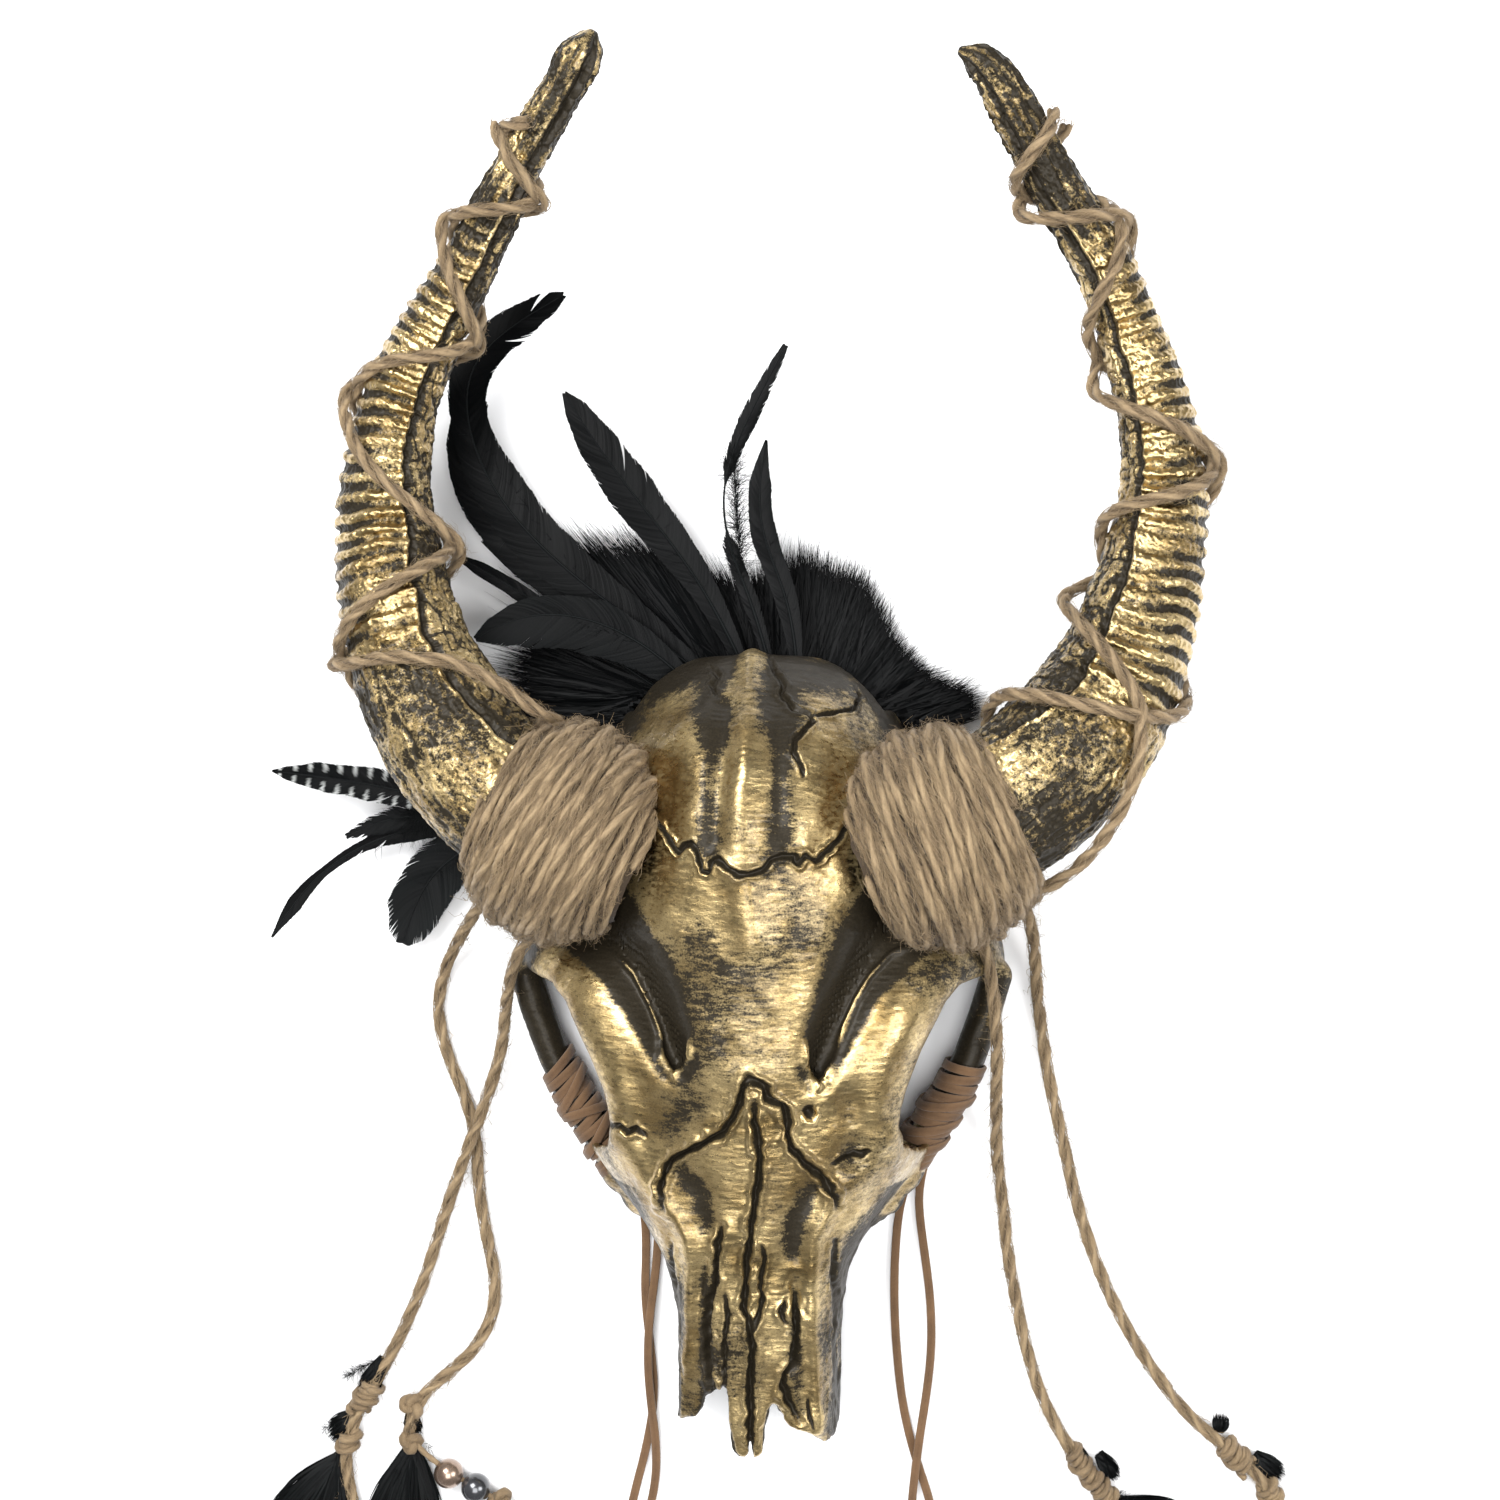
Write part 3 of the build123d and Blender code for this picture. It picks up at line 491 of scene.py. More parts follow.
def skinOf(field, corner, step):  # one point in each cell that the surface crosses
    inside = field < 0
    corners = [(i, j, k) for i in (0, 1) for j in (0, 1) for k in (0, 1)]
    nx, ny, nz = (n - 1 for n in field.shape)
    count = sum(inside[i:i + nx, j:j + ny, k:k + nz].astype(np.int8) for i, j, k in corners)
    cells = np.argwhere((count > 0) & (count < 8))
    values = np.stack([field[cells[:, 0] + i, cells[:, 1] + j, cells[:, 2] + k] for i, j, k in corners], 1)
    total, hits = np.zeros((len(cells), 3)), np.zeros(len(cells))
    for a in range(8):
        for b in range(a + 1, 8):
            d = np.subtract(corners[b], corners[a])
            if np.abs(d).sum() != 1:
                continue
            cross = (values[:, a] < 0) != (values[:, b] < 0)
            t = np.where(cross, values[:, a] / np.where(cross, values[:, a] - values[:, b], 1), 0)
            total += np.where(cross, 1, 0)[:, None] * (np.array(corners[a]) + t[:, None] * d)
            hits += cross
    points = (cells + total / hits[:, None]) * step + np.array(corner)
    index = np.full((nx, ny, nz), -1, np.int32)
    index[tuple(cells.T)] = np.arange(len(cells))
    faces = []
    for axis in range(3):
        u, v = (axis + 1) % 3, (axis + 2) % 3
        low, high = [slice(1, -1)] * 3, [slice(1, -1)] * 3
        low[axis], high[axis] = slice(0, -1), slice(1, None)
        change = inside[tuple(low)] != inside[tuple(high)]
        at = np.argwhere(change) + 1
        at[:, axis] -= 1
        du, dv = np.eye(3, dtype=int)[u], np.eye(3, dtype=int)[v]
        quad = np.stack([index[tuple((at - a).T)] for a in (0 * du, du, du + dv, dv)], 1)
        flip = inside[tuple(at.T)]
        quad[~flip] = quad[~flip][:, ::-1]
        faces.append(quad)
    return points, np.concatenate(faces)


def makeSkull(s):
    field, corner = skullField(s)
    points, faces = skinOf(field, corner, s["step"])
    rough = meshObject("skullRough", points, faces, None)
    rough.modifiers.new("finer", "SUBSURF").levels = 1
    bpy.context.view_layer.update()
    mesh = bpy.data.meshes.new_from_object(rough.evaluated_get(bpy.context.evaluated_depsgraph_get()))
    bpy.data.objects.remove(rough)
    mesh.name = "skull"
    obj = bpy.data.objects.new("skull", mesh)
    bpy.context.scene.collection.objects.link(obj)
    p = np.empty((len(mesh.vertices), 3), np.float32)
    mesh.vertices.foreach_get("co", p.ravel())
    normals = np.empty_like(p)
    mesh.vertices.foreach_get("normal", normals.ravel())
    x, y, z = p.T
    facing = np.clip(normals[:, 2] * 4, 0, 1)
    inner = outerForm(s, x, y, z) - broadForms(s, x, y) < -s["wall"] * 0.55
    towards = (normals[:, 0] * x + normals[:, 2] * z) / np.maximum(np.hypot(x, z), 1)
    inner &= (towards < -0.3) & (normals[:, 2] < 0.3)
    lift, shadeAndDarkPaint = np.zeros(len(p), np.float32), np.zeros(len(p), np.float32)
    wobble = latticeNoise(p * 0.45, 3) * 0.5
    for line, depth, width, lip in s["cuts"]:
        box = np.array(line)
        near = (x > box[:, 0].min() - 7) & (x < box[:, 0].max() + 7)  # no cut reaches further than 7 mm
        near &= (y > box[:, 1].min() - 7) & (y < box[:, 1].max() + 7)
        near = np.flatnonzero(near)
        gap, along = lineDistance(line, x[near] + wobble[near], y[near])
        ends = np.clip(np.minimum(along, 1 - along) * len(line) * 0.8 + 0.25, 0, 1)
        width = width * (0.72 + 0.35 * latticeNoise(p[near] * 0.3, 12))
        lift[near] += ends * (lip * 1.2 * bell(gap - width * 2.1, width * 1.1) - depth * bell(gap, width))
        # painted shade in the cut and painted highlight on its lips
        shadeAndDarkPaint[near] = np.maximum(shadeAndDarkPaint[near],
                                  ends * bell(gap, width * 1.2)) - 0.3 * ends * bell(gap - width * 2.2, width)
    lit = np.zeros(len(p), np.float32)
    for line, rise, width in s["wires"]:
        gap, along = lineDistance(line, x, y)
        bright = bell(gap, width) * np.clip(np.minimum(along, 1 - along) * 5 + 0.3, 0, 1)
        lift += rise * bright * np.clip((normals[:, 2] - 0.25) * 3, 0, 1)
        lit = np.maximum(lit, bright)
    px, py, pr, depth = s["pit"]
    gap = np.hypot(x - px, y - py)
    lift -= depth * bell(gap, pr)
    # painted shade in the pit
    shadeAndDarkPaint = np.maximum(shadeAndDarkPaint, bell(gap, pr * 1.2))
    # painted shade in the sunken broad forms
    sink = -np.minimum(broadForms(s, x, y), 0)
    shadeAndDarkPaint = np.maximum(shadeAndDarkPaint, np.clip((sink - 0.5) / 4, 0, 0.85))
    patchy = 0.6 + 0.5 * latticeNoise(p * 0.09, 14)
    # darker towards the back of the crown, in patches
    shadeAndDarkPaint += np.clip((y - 0) / 26, 0, 1) * 0.36 * patchy * (1 - bell(x + 1.5, 5))
    # darker bands beside the middle ridge
    bands = bell(np.abs(x + 2) - 12, 5) * np.clip((y + 45) / 20, 0, 1)
    bands = bands + 0.45 * bell(np.abs(x) - 14, 9) * bell(y + 66, 20)
    shadeAndDarkPaint += 0.30 * bands * (0.5 + patchy)
    # painted shade towards the outer sides of the brow
    shadeAndDarkPaint += np.clip((np.abs(x) - 36) / 14, 0, 1) * np.clip((y + 90) / 18, 0, 1) * 0.42 * patchy
    # painted shade on the low part of the cheek arches
    lowCheek = np.clip((np.abs(x) - 58) / 5, 0, 1) * np.clip((30 - z) / 8, 0, 1)
    shadeAndDarkPaint += lowCheek * np.clip((-76 - y) / 8, 0, 1) * 0.4
    # painted shade on the muzzle's side walls, from the way they face
    side = np.clip((0.55 - normals[:, 2]) * 1.0, 0, 0.38) * (y < -150)
    # the wires' painted highlight lightens the mask here
    shadeAndDarkPaint = np.maximum(shadeAndDarkPaint, side) - lit * 0.8
    lift += 0.10 * latticeNoise(p * (0.25, 1.1, 0.6), 5) + 0.5 * latticeNoise(p * 0.13, 8)
    lift = np.where(inner, 0, lift * facing + 0.9 * latticeNoise(p * (0.5, 0.14, 0.3), 9) * (1 - facing)
                    * (y < -120))
    p += normals * lift[:, None]
    p[:, 2] = np.maximum(p[:, 2], 0.02)
    mesh.vertices.foreach_set("co", (p * mm).ravel())
    mesh.polygons.foreach_set("use_smooth", np.ones(len(mesh.polygons), bool))
    mesh.materials.append(skullGold)
    paintMask(obj, "shadeAndDarkPaint", shadeAndDarkPaint)
    paintMask(obj, "inner", inner)
    mesh.update()
    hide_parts("skull_shell")
    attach(obj, "mask")
    return obj


makeSkull(skull)
print("skull made")

# horns
leftHorn = {
    "name": "left_horn", "side": 1, "seed": 21,
    # x, y, z, radius in millimetres
    "stations": [
        (-52.4, -34.4, 62, 24), (-67.8, -26.9, 62, 25), (-84.2, -16.7, 60, 25.5), (-104.9, 6.6, 56, 25.5),
        (-120.3, 37.8, 52, 22), (-127.4, 72.7, 50, 18.5), (-127.1, 102.2, 50, 15.5), (-118.7, 131, 52, 13.3),
        (-105.1, 154.8, 56, 11.3), (-90, 180.2, 62, 9.5), (-76.5, 204.2, 68, 8.2), (-64.5, 221.7, 74, 7.7),
        (-55, 236, 79, 6.2), (-52.6, 239.8, 80.4, 3.5),
    ],
    "rings": (88, 262, 7.0), "keel": 26,
    "windings": [
        ([(26, -330), (49, -250), (75, -170), (103, -90), (133, 90), (186, 270), (218, 450), (250, 630),
          (270, 810), (284, 990), (293, 1080)], 0.0, "left_horn_twine_up"),
        ([(26, 120), (49, 75), (66, 62), (84, 35), (95, -10), (103, -90), (133, -270), (186, -450),
          (218, -630), (250, -810), (270, -990), (286, -1170)], 3.0, "left_horn_twine_down"),
    ],
}
rightHorn = {
    "name": "right_horn", "side": -1, "seed": 22,
    "stations": [
        (51.1, -35.9, 62, 24), (67.9, -28.2, 62, 25.5), (85.9, -17.4, 60, 27), (108.7, 3, 56, 26.5),
        (126, 32, 52, 22.5), (134.8, 61.8, 50, 18.5), (138.9, 86.7, 50, 15.5), (135.7, 115.5, 52, 13.5),
        (126.9, 142.2, 56, 11.5), (114.9, 168.3, 62, 10.5), (101.4, 188.3, 68, 9.5), (89.4, 209.5, 74, 9.0),
        (80.3, 223.5, 78, 7.8), (73.5, 229.5, 79.5, 5.5), (68.7, 231.3, 80, 3.0),
    ],
    "rings": (80, 262, 7.2), "keel": 27,
    "windings": [
        ([(26, 240), (49, 150), (60, 90), (98, -90), (149, -270), (169, -450), (222, -630), (256, -810),
          (280, -990), (296, -1170)],
         0.0, "right_horn_twine_up"),
        ([(24, -105), (49, -75), (70, -50), (88, -20), (117, 90), (169, 270), (202, 450), (250, 630),
          (271, 810), (289, 990)],
         3.0, "right_horn_twine_down"),
    ],
}
hornMesh = {"rows": 1150, "columns": 260, "ringHeight": 0.95, "keelHeight": 1.1, "crackDepth": 0.9}


def hornFrames(s, count):  # centre, along, front and inner direction, radius and run at even steps up a horn
    line, run = smoothLine(s["stations"], count)
    along = unit(np.gradient(line[:, :3], axis=0))
    front = unit(np.array((0, 0, 1.0)) - along * along[:, 2:3])
    return line[:, :3], along, front, np.cross(along, front) * s["side"], line[:, 3], run


def makeHorn(s, m):
    centre, along, front, inner, radius, run = hornFrames(s, m["rows"])
    turn = np.arange(m["columns"]) * 2 * np.pi / m["columns"]
    angle = np.degrees(turn)[None, :]
    angle = np.where(angle > 180, angle - 360, angle)
    d = run[:, None]
    arc = np.radians(angle) * radius[:, None]
    spot = np.stack(np.broadcast_arrays(np.cos(turn)[None] * radius[:, None],
                                        np.sin(turn)[None] * radius[:, None], d), -1)
    flat = spot.reshape(-1, 3)
    shape = arc.shape

    def rough(scale, seed):
        return latticeNoise(flat * scale + 50, seed).reshape(shape)

    seed = s["seed"]
    start, end, pitch = s["rings"]
    keelAt = s["keel"] + 34 * np.clip((75 - d) / 60, 0, 1) + 5 * rough(np.array((0, 0, 0.03)), seed) \
        + 3.0 * rough(np.array((0, 0, 0.14)), seed + 1)
    fromKeel = (angle - keelAt) * np.radians(radius[:, None])  # millimetres, positive towards the inner edge
    innerSide = np.clip(fromKeel / 2.5, 0, 1) * np.clip((150 - angle) / 25, 0, 1)
    ringed = np.clip((d - start) / 16, 0, 1) * np.clip((end - d) / 20, 0, 1)
    wander = 2.2 * rough(0.055, seed + 2) + 0.8 * rough(0.2, seed + 3)
    wave = np.cos(2 * np.pi * (d + wander) / (pitch * (0.85 + 0.15 * radius[:, None] / 18)))
    ring = np.sign(wave) * np.abs(wave) ** 0.7
    ring = ring * (0.65 + 0.5 * rough(0.09, seed + 4)) * ringed * (1 - 0.8 * innerSide)
    bark = np.abs(rough(np.array((0.5, 0.5, 0.16)), seed + 5)) * 1.4 + 0.5 * np.abs(rough(0.6, seed + 6))
    cracked = np.clip(1 - ringed + 0.25, 0, 1)
    innerCracks = np.abs(rough(np.array((0.34, 0.34, 0.22)), seed + 7))
    innerPits = np.clip(0.3 - innerCracks, 0, 1) * 3.2
    keel = bell(fromKeel, 0.8) * (0.7 + 0.4 * rough(0.12, seed + 8))
    keel = keel * np.clip((d - 20) / 30, 0.3, 1) * np.clip((275 - d) / 20, 0, 1)
    gutter = bell(fromKeel - 2.4, 1.5)
    tipRough = np.clip((d - 235) / 20, 0, 1)
    lengthwise = rough(np.array((0.55, 0.55, 0.05)), seed + 9)
    lift = m["ringHeight"] * ring * np.clip(radius[:, None] / 14, 0.5, 1.1) + m["keelHeight"] * keel \
        - m["crackDepth"] * (bark * cracked * (1 - innerSide) * 0.75 + innerPits * innerSide
                             * 0.8) - 1.5 * gutter * (d > 30) \
        + 0.9 * lengthwise * tipRough + 0.35 * rough(0.9, seed + 10) + 0.6 * rough(0.12, seed + 11)
    lift -= 0.05 * radius[:, None] * innerSide
    fade = np.clip((run[-1] - d) / 6, 0, 1)
    reach = radius[:, None] + lift * (0.25 + 0.75 * fade) - 0.3
    tip = np.sqrt(np.clip((run[-1] - d) / 5, 0, 1))
    reach = reach * np.where(tip < 1, 0.35 + 0.65 * tip, 1)
    points = centre[:, None] + front[:, None] * (np.cos(turn)[None, :, None] * reach[..., None]) \
        + inner[:, None] * (np.sin(turn)[None, :, None] * reach[..., None])
    # painted shade in the ring valleys, cracks, pits, the gutter and on the sides turned away, painted
    # highlight on the ring crests and the keel; darker on the outer side and near the tip
    outerSide = np.clip((5 - angle) / 55, 0, 1)
    shadeAndDarkPaint = np.clip(np.clip(-ring, 0, 1) * (0.12 + 0.5 * outerSide) - np.clip(ring, 0, 1) * 0.2
                     + bark * cracked * 0.16 * (1 - innerSide) * (0.5 + outerSide) + innerSide
                     * (0.04 + 0.28 * innerPits)
                     + gutter * 0.45 - keel * 0.7 + 0.05 * tipRough + 0.22 * lengthwise * tipRough
                     + np.clip((np.abs(angle) - 80) / 90, 0, 0.25), -0.3, 1)
    faces = gridFaces(*shape, True)
    if s["side"] > 0:
        faces = faces[:, ::-1]
    obj = meshObject(s["name"] + "Look", points * mm, faces, hornGold)
    paintMask(obj, "shadeAndDarkPaint", shadeAndDarkPaint.ravel())
    fillEnds(obj)
    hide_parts(s["name"])
    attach(obj, "mask")


def fillEnds(obj):  # closes the open rings at a tube's ends
    work = bmesh.new()
    work.from_mesh(obj.data)
    bmesh.ops.holes_fill(work, edges=[e for e in work.edges if e.is_boundary], sides=0)
    work.to_mesh(obj.data)
    work.free()


for horn in (leftHorn, rightHorn):
    makeHorn(horn, hornMesh)
print("horns made")

# jute
jute = {"diameter": 4.3, "twist": 23.0, "step": 0.9, "woundTwist": 58.0}


def juteMaterial():
    material, tree, shader = newMaterial("jute")
    place = addNode(tree, "TexCoord").outputs["Object"]
    fibreToneAndShade = addNode(tree, "Attribute", attribute_name="fibreToneAndShade").outputs["Fac"]
    tone = noiseNode(tree, place, 90, 4, 0.6)
    fine = noiseNode(tree, place, 2600, 3, 0.7)
    value = mathNode(tree, "ADD", mathNode(tree, "MULTIPLY", tone, 0.7),
                     mathNode(tree, "MULTIPLY", fine, 0.7))
    # adds the strand tone, with painted shade in the grooves between plies and between the turns
    value = mathNode(tree, "ADD", value, mathNode(tree, "MULTIPLY", fibreToneAndShade, 0.55))
    ramp = addNode(tree, "ValToRGB", {0: rangeNode(tree, value, 0.3, 1.35)})
    stops = ramp.color_ramp.elements
    stops[0].color, stops[1].color = (0.040, 0.024, 0.011, 1), (0.34, 0.245, 0.135, 1)
    stops.new(0.45).color = (0.165, 0.110, 0.055, 1)
    bump = addNode(tree, "Bump", {"Height": fine, "Strength": 0.5, "Distance": 0.0005})
    connect(tree, [(ramp.outputs[0], shader["Base Color"]), (bump.outputs[0], shader["Normal"])])
    shader["Roughness"].default_value = 0.72
    shader["Sheen Weight"].default_value = 0.08
    return material


juteSkin = juteMaterial()


def twistedRope(line, diameter, twist, seed):  # two plies laid round a line, all in millimetres
    _, side, up = carriedFrames(line)
    run = runOf(line)
    rng = np.random.default_rng(seed)
    sway = latticeNoise(np.stack([run * 0.08, run * 0, run * 0], 1) + rng.uniform(0, 30), seed)
    parts, shades = [], []
    sides = 12
    turn = np.arange(sides) * 2 * np.pi / sides
    for ply in (0, 1):
        phase = 2 * np.pi * run / twist + ply * np.pi + sway * 0.6
        offset = (np.cos(phase)[:, None] * side + np.sin(phase)[:, None] * up) * diameter * 0.235
        core = line + offset
        _, s, u = carriedFrames(core)
        lobes = 1 + 0.09 * np.cos(5 * turn[None] + run[:, None] * 1.3)
        lobes = lobes + 0.07 * np.cos(3 * turn[None] - run[:, None] * 0.7 + ply)
        swell = 1 + 0.13 * latticeNoise(np.stack([run * 0.22, run * 0 + ply * 9, run * 0], 1) + seed,
                                        seed + 1)
        ends = np.clip(np.minimum(run, run[-1] - run) / 1.2 + 0.15, 0, 1)
        reach = diameter * 0.285 * lobes * swell[:, None] * ends[:, None]
        ring = np.cos(turn)[None, :, None] * s[:, None] + np.sin(turn)[None, :, None] * u[:, None]
        points = core[:, None] + ring * reach[..., None]
        parts.append((points.reshape(-1, 3), gridFaces(len(line), sides, True)))
        outward = ((points - line[:, None]) ** 2).sum(-1) ** 0.5 / (diameter * 0.5)
        # painted shade in the grooves between the plies, painted highlight on the outer lobes
        shades.append((np.clip((outward - 0.45) * 1.9, 0, 1) * 0.95 - 0.3 + 0.16 * (lobes - 1) / 0.1).ravel())
    points, faces = joined(parts)
    return points, faces, np.concatenate(shades)


# fine hairs that leave the surface of a line
def looseFibres(line, diameter, perMillimetre, seed, length=(5, 16), lift=(0.5, 4.0), thickness=0.055,
                sides=3):
    rng = np.random.default_rng(seed)
    run = runOf(line)
    count = int(run[-1] * perMillimetre)
    along, side, up = carriedFrames(line)
    k = 7
    at = rng.uniform(0, run[-1], count)
    size = rng.uniform(*length, count) * rng.uniform(0.4, 1, count)
    out = rng.uniform(*lift, count) * rng.uniform(0.05, 1, count) ** 1.5
    way = rng.choice([-1, 1], count)
    phase = rng.uniform(0, 2 * np.pi, count)
    swirl = rng.uniform(-1.4, 1.4, count)
    share = np.linspace(0, 1, k)
    s = np.clip(at[:, None] + way[:, None] * size[:, None] * share * rng.uniform(0.35, 0.95, (count, 1)), 0,
                run[-1])
    index = np.clip(np.searchsorted(run, s), 0, len(line) - 1)
    angle = phase[:, None] + swirl[:, None] * share * 2
    radius = diameter * 0.47 + out[:, None] * share ** 1.6
    lines = line[index] + (np.cos(angle)[..., None] * side[index] + np.sin(angle)[..., None]
                           * up[index]) * radius[..., None]
    lines = lines + along[index] * (way[:, None] * size[:, None] * share * 0.12)[..., None]
    curl = rng.normal(0, 1, (count, k, 3)) * (0.28 * out[:, None, None] * share[None, :, None])
    lines = lines + curl
    lines[..., 2] = np.maximum(lines[..., 2], 0.15)
    radii = thickness * (1.25 - 0.85 * share)[None] * rng.uniform(0.6, 1.3, (count, 1))
    points, faces = tubes(lines, radii, sides)
    return points, faces, np.repeat(rng.uniform(0.3, 1.0, count), k * sides)


def juteObject(name, points, faces, shades):
    obj = meshObject(name, points * mm, faces, juteSkin)
    paintMask(obj, "fibreToneAndShade", shades)
    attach(obj, "mask")
    return obj


def evenLine(points, step):  # the same line with even steps
    points = np.asarray(points, float)
    run = runOf(points)
    at = np.linspace(0, run[-1], max(3, int(run[-1] / step)))
    return np.stack([np.interp(at, run, points[:, k]) for k in range(3)], 1)


def windingLine(s, marks, lift):
    centre, along, front, inner, radius, run = hornFrames(s, 600)
    knots = np.array(marks, float)
    at = np.arange(knots[0, 0], knots[-1, 0], 0.25)
    turn = np.interp(at, knots[:, 0], knots[:, 1])
    soft = np.exp(-np.linspace(-2, 2, 41) ** 2)
    turn = np.convolve(np.pad(turn, 20, mode="edge"), soft / soft.sum(), "valid")
    reach = np.interp(at, run, radius) + jute["diameter"] * 0.42
    crossing = np.abs(np.sin(np.radians(turn)))
    reach = reach + lift * crossing ** 6 + 0.15
    pick = [np.stack([np.interp(at, run, a[:, k]) for k in range(3)], 1) for a in (centre, front, inner)]
    angle = np.radians(turn)[:, None]
    line = pick[0] + (pick[1] * np.cos(angle) + pick[2] * np.sin(angle)) * reach[:, None]
    return evenLine(line, jute["step"])


def makeWindings(s):
    for marks, lift, node in s["windings"]:
        line = windingLine(s, marks, lift)
        rope = twistedRope(line, jute["diameter"], jute["twist"], s["seed"] + 3)
        hair = looseFibres(line, jute["diameter"], 5.0, s["seed"] + 4, length=(8, 22), lift=(0.1, 3.0),
                           thickness=0.08)
        points, faces = joined([rope[:2], hair[:2]])
        obj = juteObject(node + "Jute", points, faces, np.concatenate([rope[2], hair[2]]))
        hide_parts(node)


for horn in (leftHorn, rightHorn):
    makeWindings(horn)
print("horn windings made")

# balls of jute round the horns' roots
binding = {
    # distance from the horn's foot and outer radius
    "profile": [(-17, 21), (-10, 29.5), (0, 36.6), (12, 39.5), (24, 38), (34, 32.5), (41, 25)],
    "turns": 15, "over": 5,
}


def makeBinding(s, m):
    a, b = np.array(s["stations"][0][:3], float), np.array(s["stations"][1][:3], float)
    along = unit(b - a)
    front = unit(np.array((0, 0, 1.0)) - along * along[2])
    inner = np.cross(along, front)
    profile = np.array(m["profile"], float)
    rng = np.random.default_rng(s["seed"] + 7)
    half = jute["diameter"] / 2
    parts, shades = [], []

    def place(distance, turn, depth):
        d = np.clip(distance, profile[0, 0], profile[-1, 0])
        reach = np.interp(d, profile[:, 0], profile[:, 1]) - half - depth
        return a + along * np.asarray(distance)[:, None] + (front * np.cos(turn)[:, None] + inner
                                                            * np.sin(turn)[:, None]) * reach[:, None]

    turn = np.linspace(0, 2 * np.pi * m["turns"], m["turns"] * 240)
    drift = 0.9 * np.sin(turn + 0.5) + 0.7 * noiseAlong(turn * 0.7, s["seed"], 7)
    depth = 0.9 + 0.8 * noiseAlong(turn * 0.5, s["seed"] + 1, 3)
    lines = [place(np.linspace(-14.5, 39, len(turn)) + drift, turn, depth)]
    for i in range(m["over"]):
        middle = -9 + 43 * (i + 0.5) / m["over"] + rng.uniform(-1.5, 1.5)
        tilt, phase = rng.uniform(1.5, 5.5), rng.uniform(0, 2 * np.pi)
        turn = np.linspace(phase, phase + 2 * np.pi * rng.uniform(1.0, 1.9), 380)
        rise = np.sin(np.linspace(0, np.pi, len(turn))) ** 0.3
        distance = middle + tilt * np.sin(turn - phase + 1) + np.linspace(-2.4, 2.4, len(turn))
        lines.append(place(distance, turn, 2.2 - 3.0 * rise + 0.4 * np.sin(turn * 2)))
    for i, line in enumerate(lines):
        line = evenLine(line, 1.1)
        rope = twistedRope(line, jute["diameter"] * 1.02, jute["woundTwist"], s["seed"] + 11 + i)
        hair = looseFibres(line, jute["diameter"], 5.5 if i else 4.5, s["seed"] + 40 + i, length=(7, 24),
                           lift=(0.1, 2.4), thickness=0.09)
        parts += [rope[:2], hair[:2]]
        shades += [rope[2], hair[2]]
    # packed jute under the turns
    d = np.linspace(-15, 40, 60)
    turn = np.arange(96) * 2 * np.pi / 96
    core = np.stack([place(np.full(96, v), turn, 2.0) for v in d])
    core += 0.5 * latticeNoise(core.reshape(-1, 3) * 0.5, 4).reshape(60, 96)[..., None] * unit(core - a)
    parts.append((core.reshape(-1, 3), gridFaces(60, 96, True)))
    shades.append(np.zeros(60 * 96))
    # long curly hairs
    longHairs = looseFibres(evenLine(lines[0], 1.5), jute["diameter"], 0.55, s["seed"] + 90, length=(10, 34),
                            lift=(2.0, 8), thickness=0.1)
    parts.append(longHairs[:2])
    shades.append(longHairs[2])
    points, faces = joined(parts)
    shade = np.concatenate(shades)
    far = (points - a) @ along
    below = np.interp(far, profile[:, 0], profile[:, 1]) - np.linalg.norm(points - a - far[:, None] * along,
                                                                          axis=1)
    shade -= np.clip((below - 1.6) / 2.6, 0, 1) * 1.0  # painted shade between the turns
    node = s["name"] + "_binding"
    obj = juteObject(node + "Jute", points, faces, shade)
    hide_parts(node)


for horn in (leftHorn, rightHorn):
    makeBinding(horn, binding)
print("bindings made")

# black tufts
def featherMaterial():
    material, tree, shader = newMaterial("feather")
    tone = addNode(tree, "Attribute", attribute_name="tone").outputs["Fac"]
    bar = addNode(tree, "Attribute", attribute_name="bar").outputs["Fac"]
    black = mixColor(tree, tone, (0.0004, 0.0005, 0.0007), (0.0058, 0.0070, 0.0072))
    connect(tree, [(mixColor(tree, bar, black, (0.36, 0.37, 0.36)), shader["Base Color"])])
    shader["Roughness"].default_value = 0.46
    shader["IOR"].default_value = 1.2
    shader["Specular IOR Level"].default_value = 0.35
    return material


featherSkin = featherMaterial()


def featherObject(name, parts, tones, node):
    points, faces = joined(parts)
    obj = meshObject(name, points * mm, faces, featherSkin)
    paintMask(obj, "tone", np.concatenate(tones))
    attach(obj, "mask")
    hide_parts(node)
    return obj


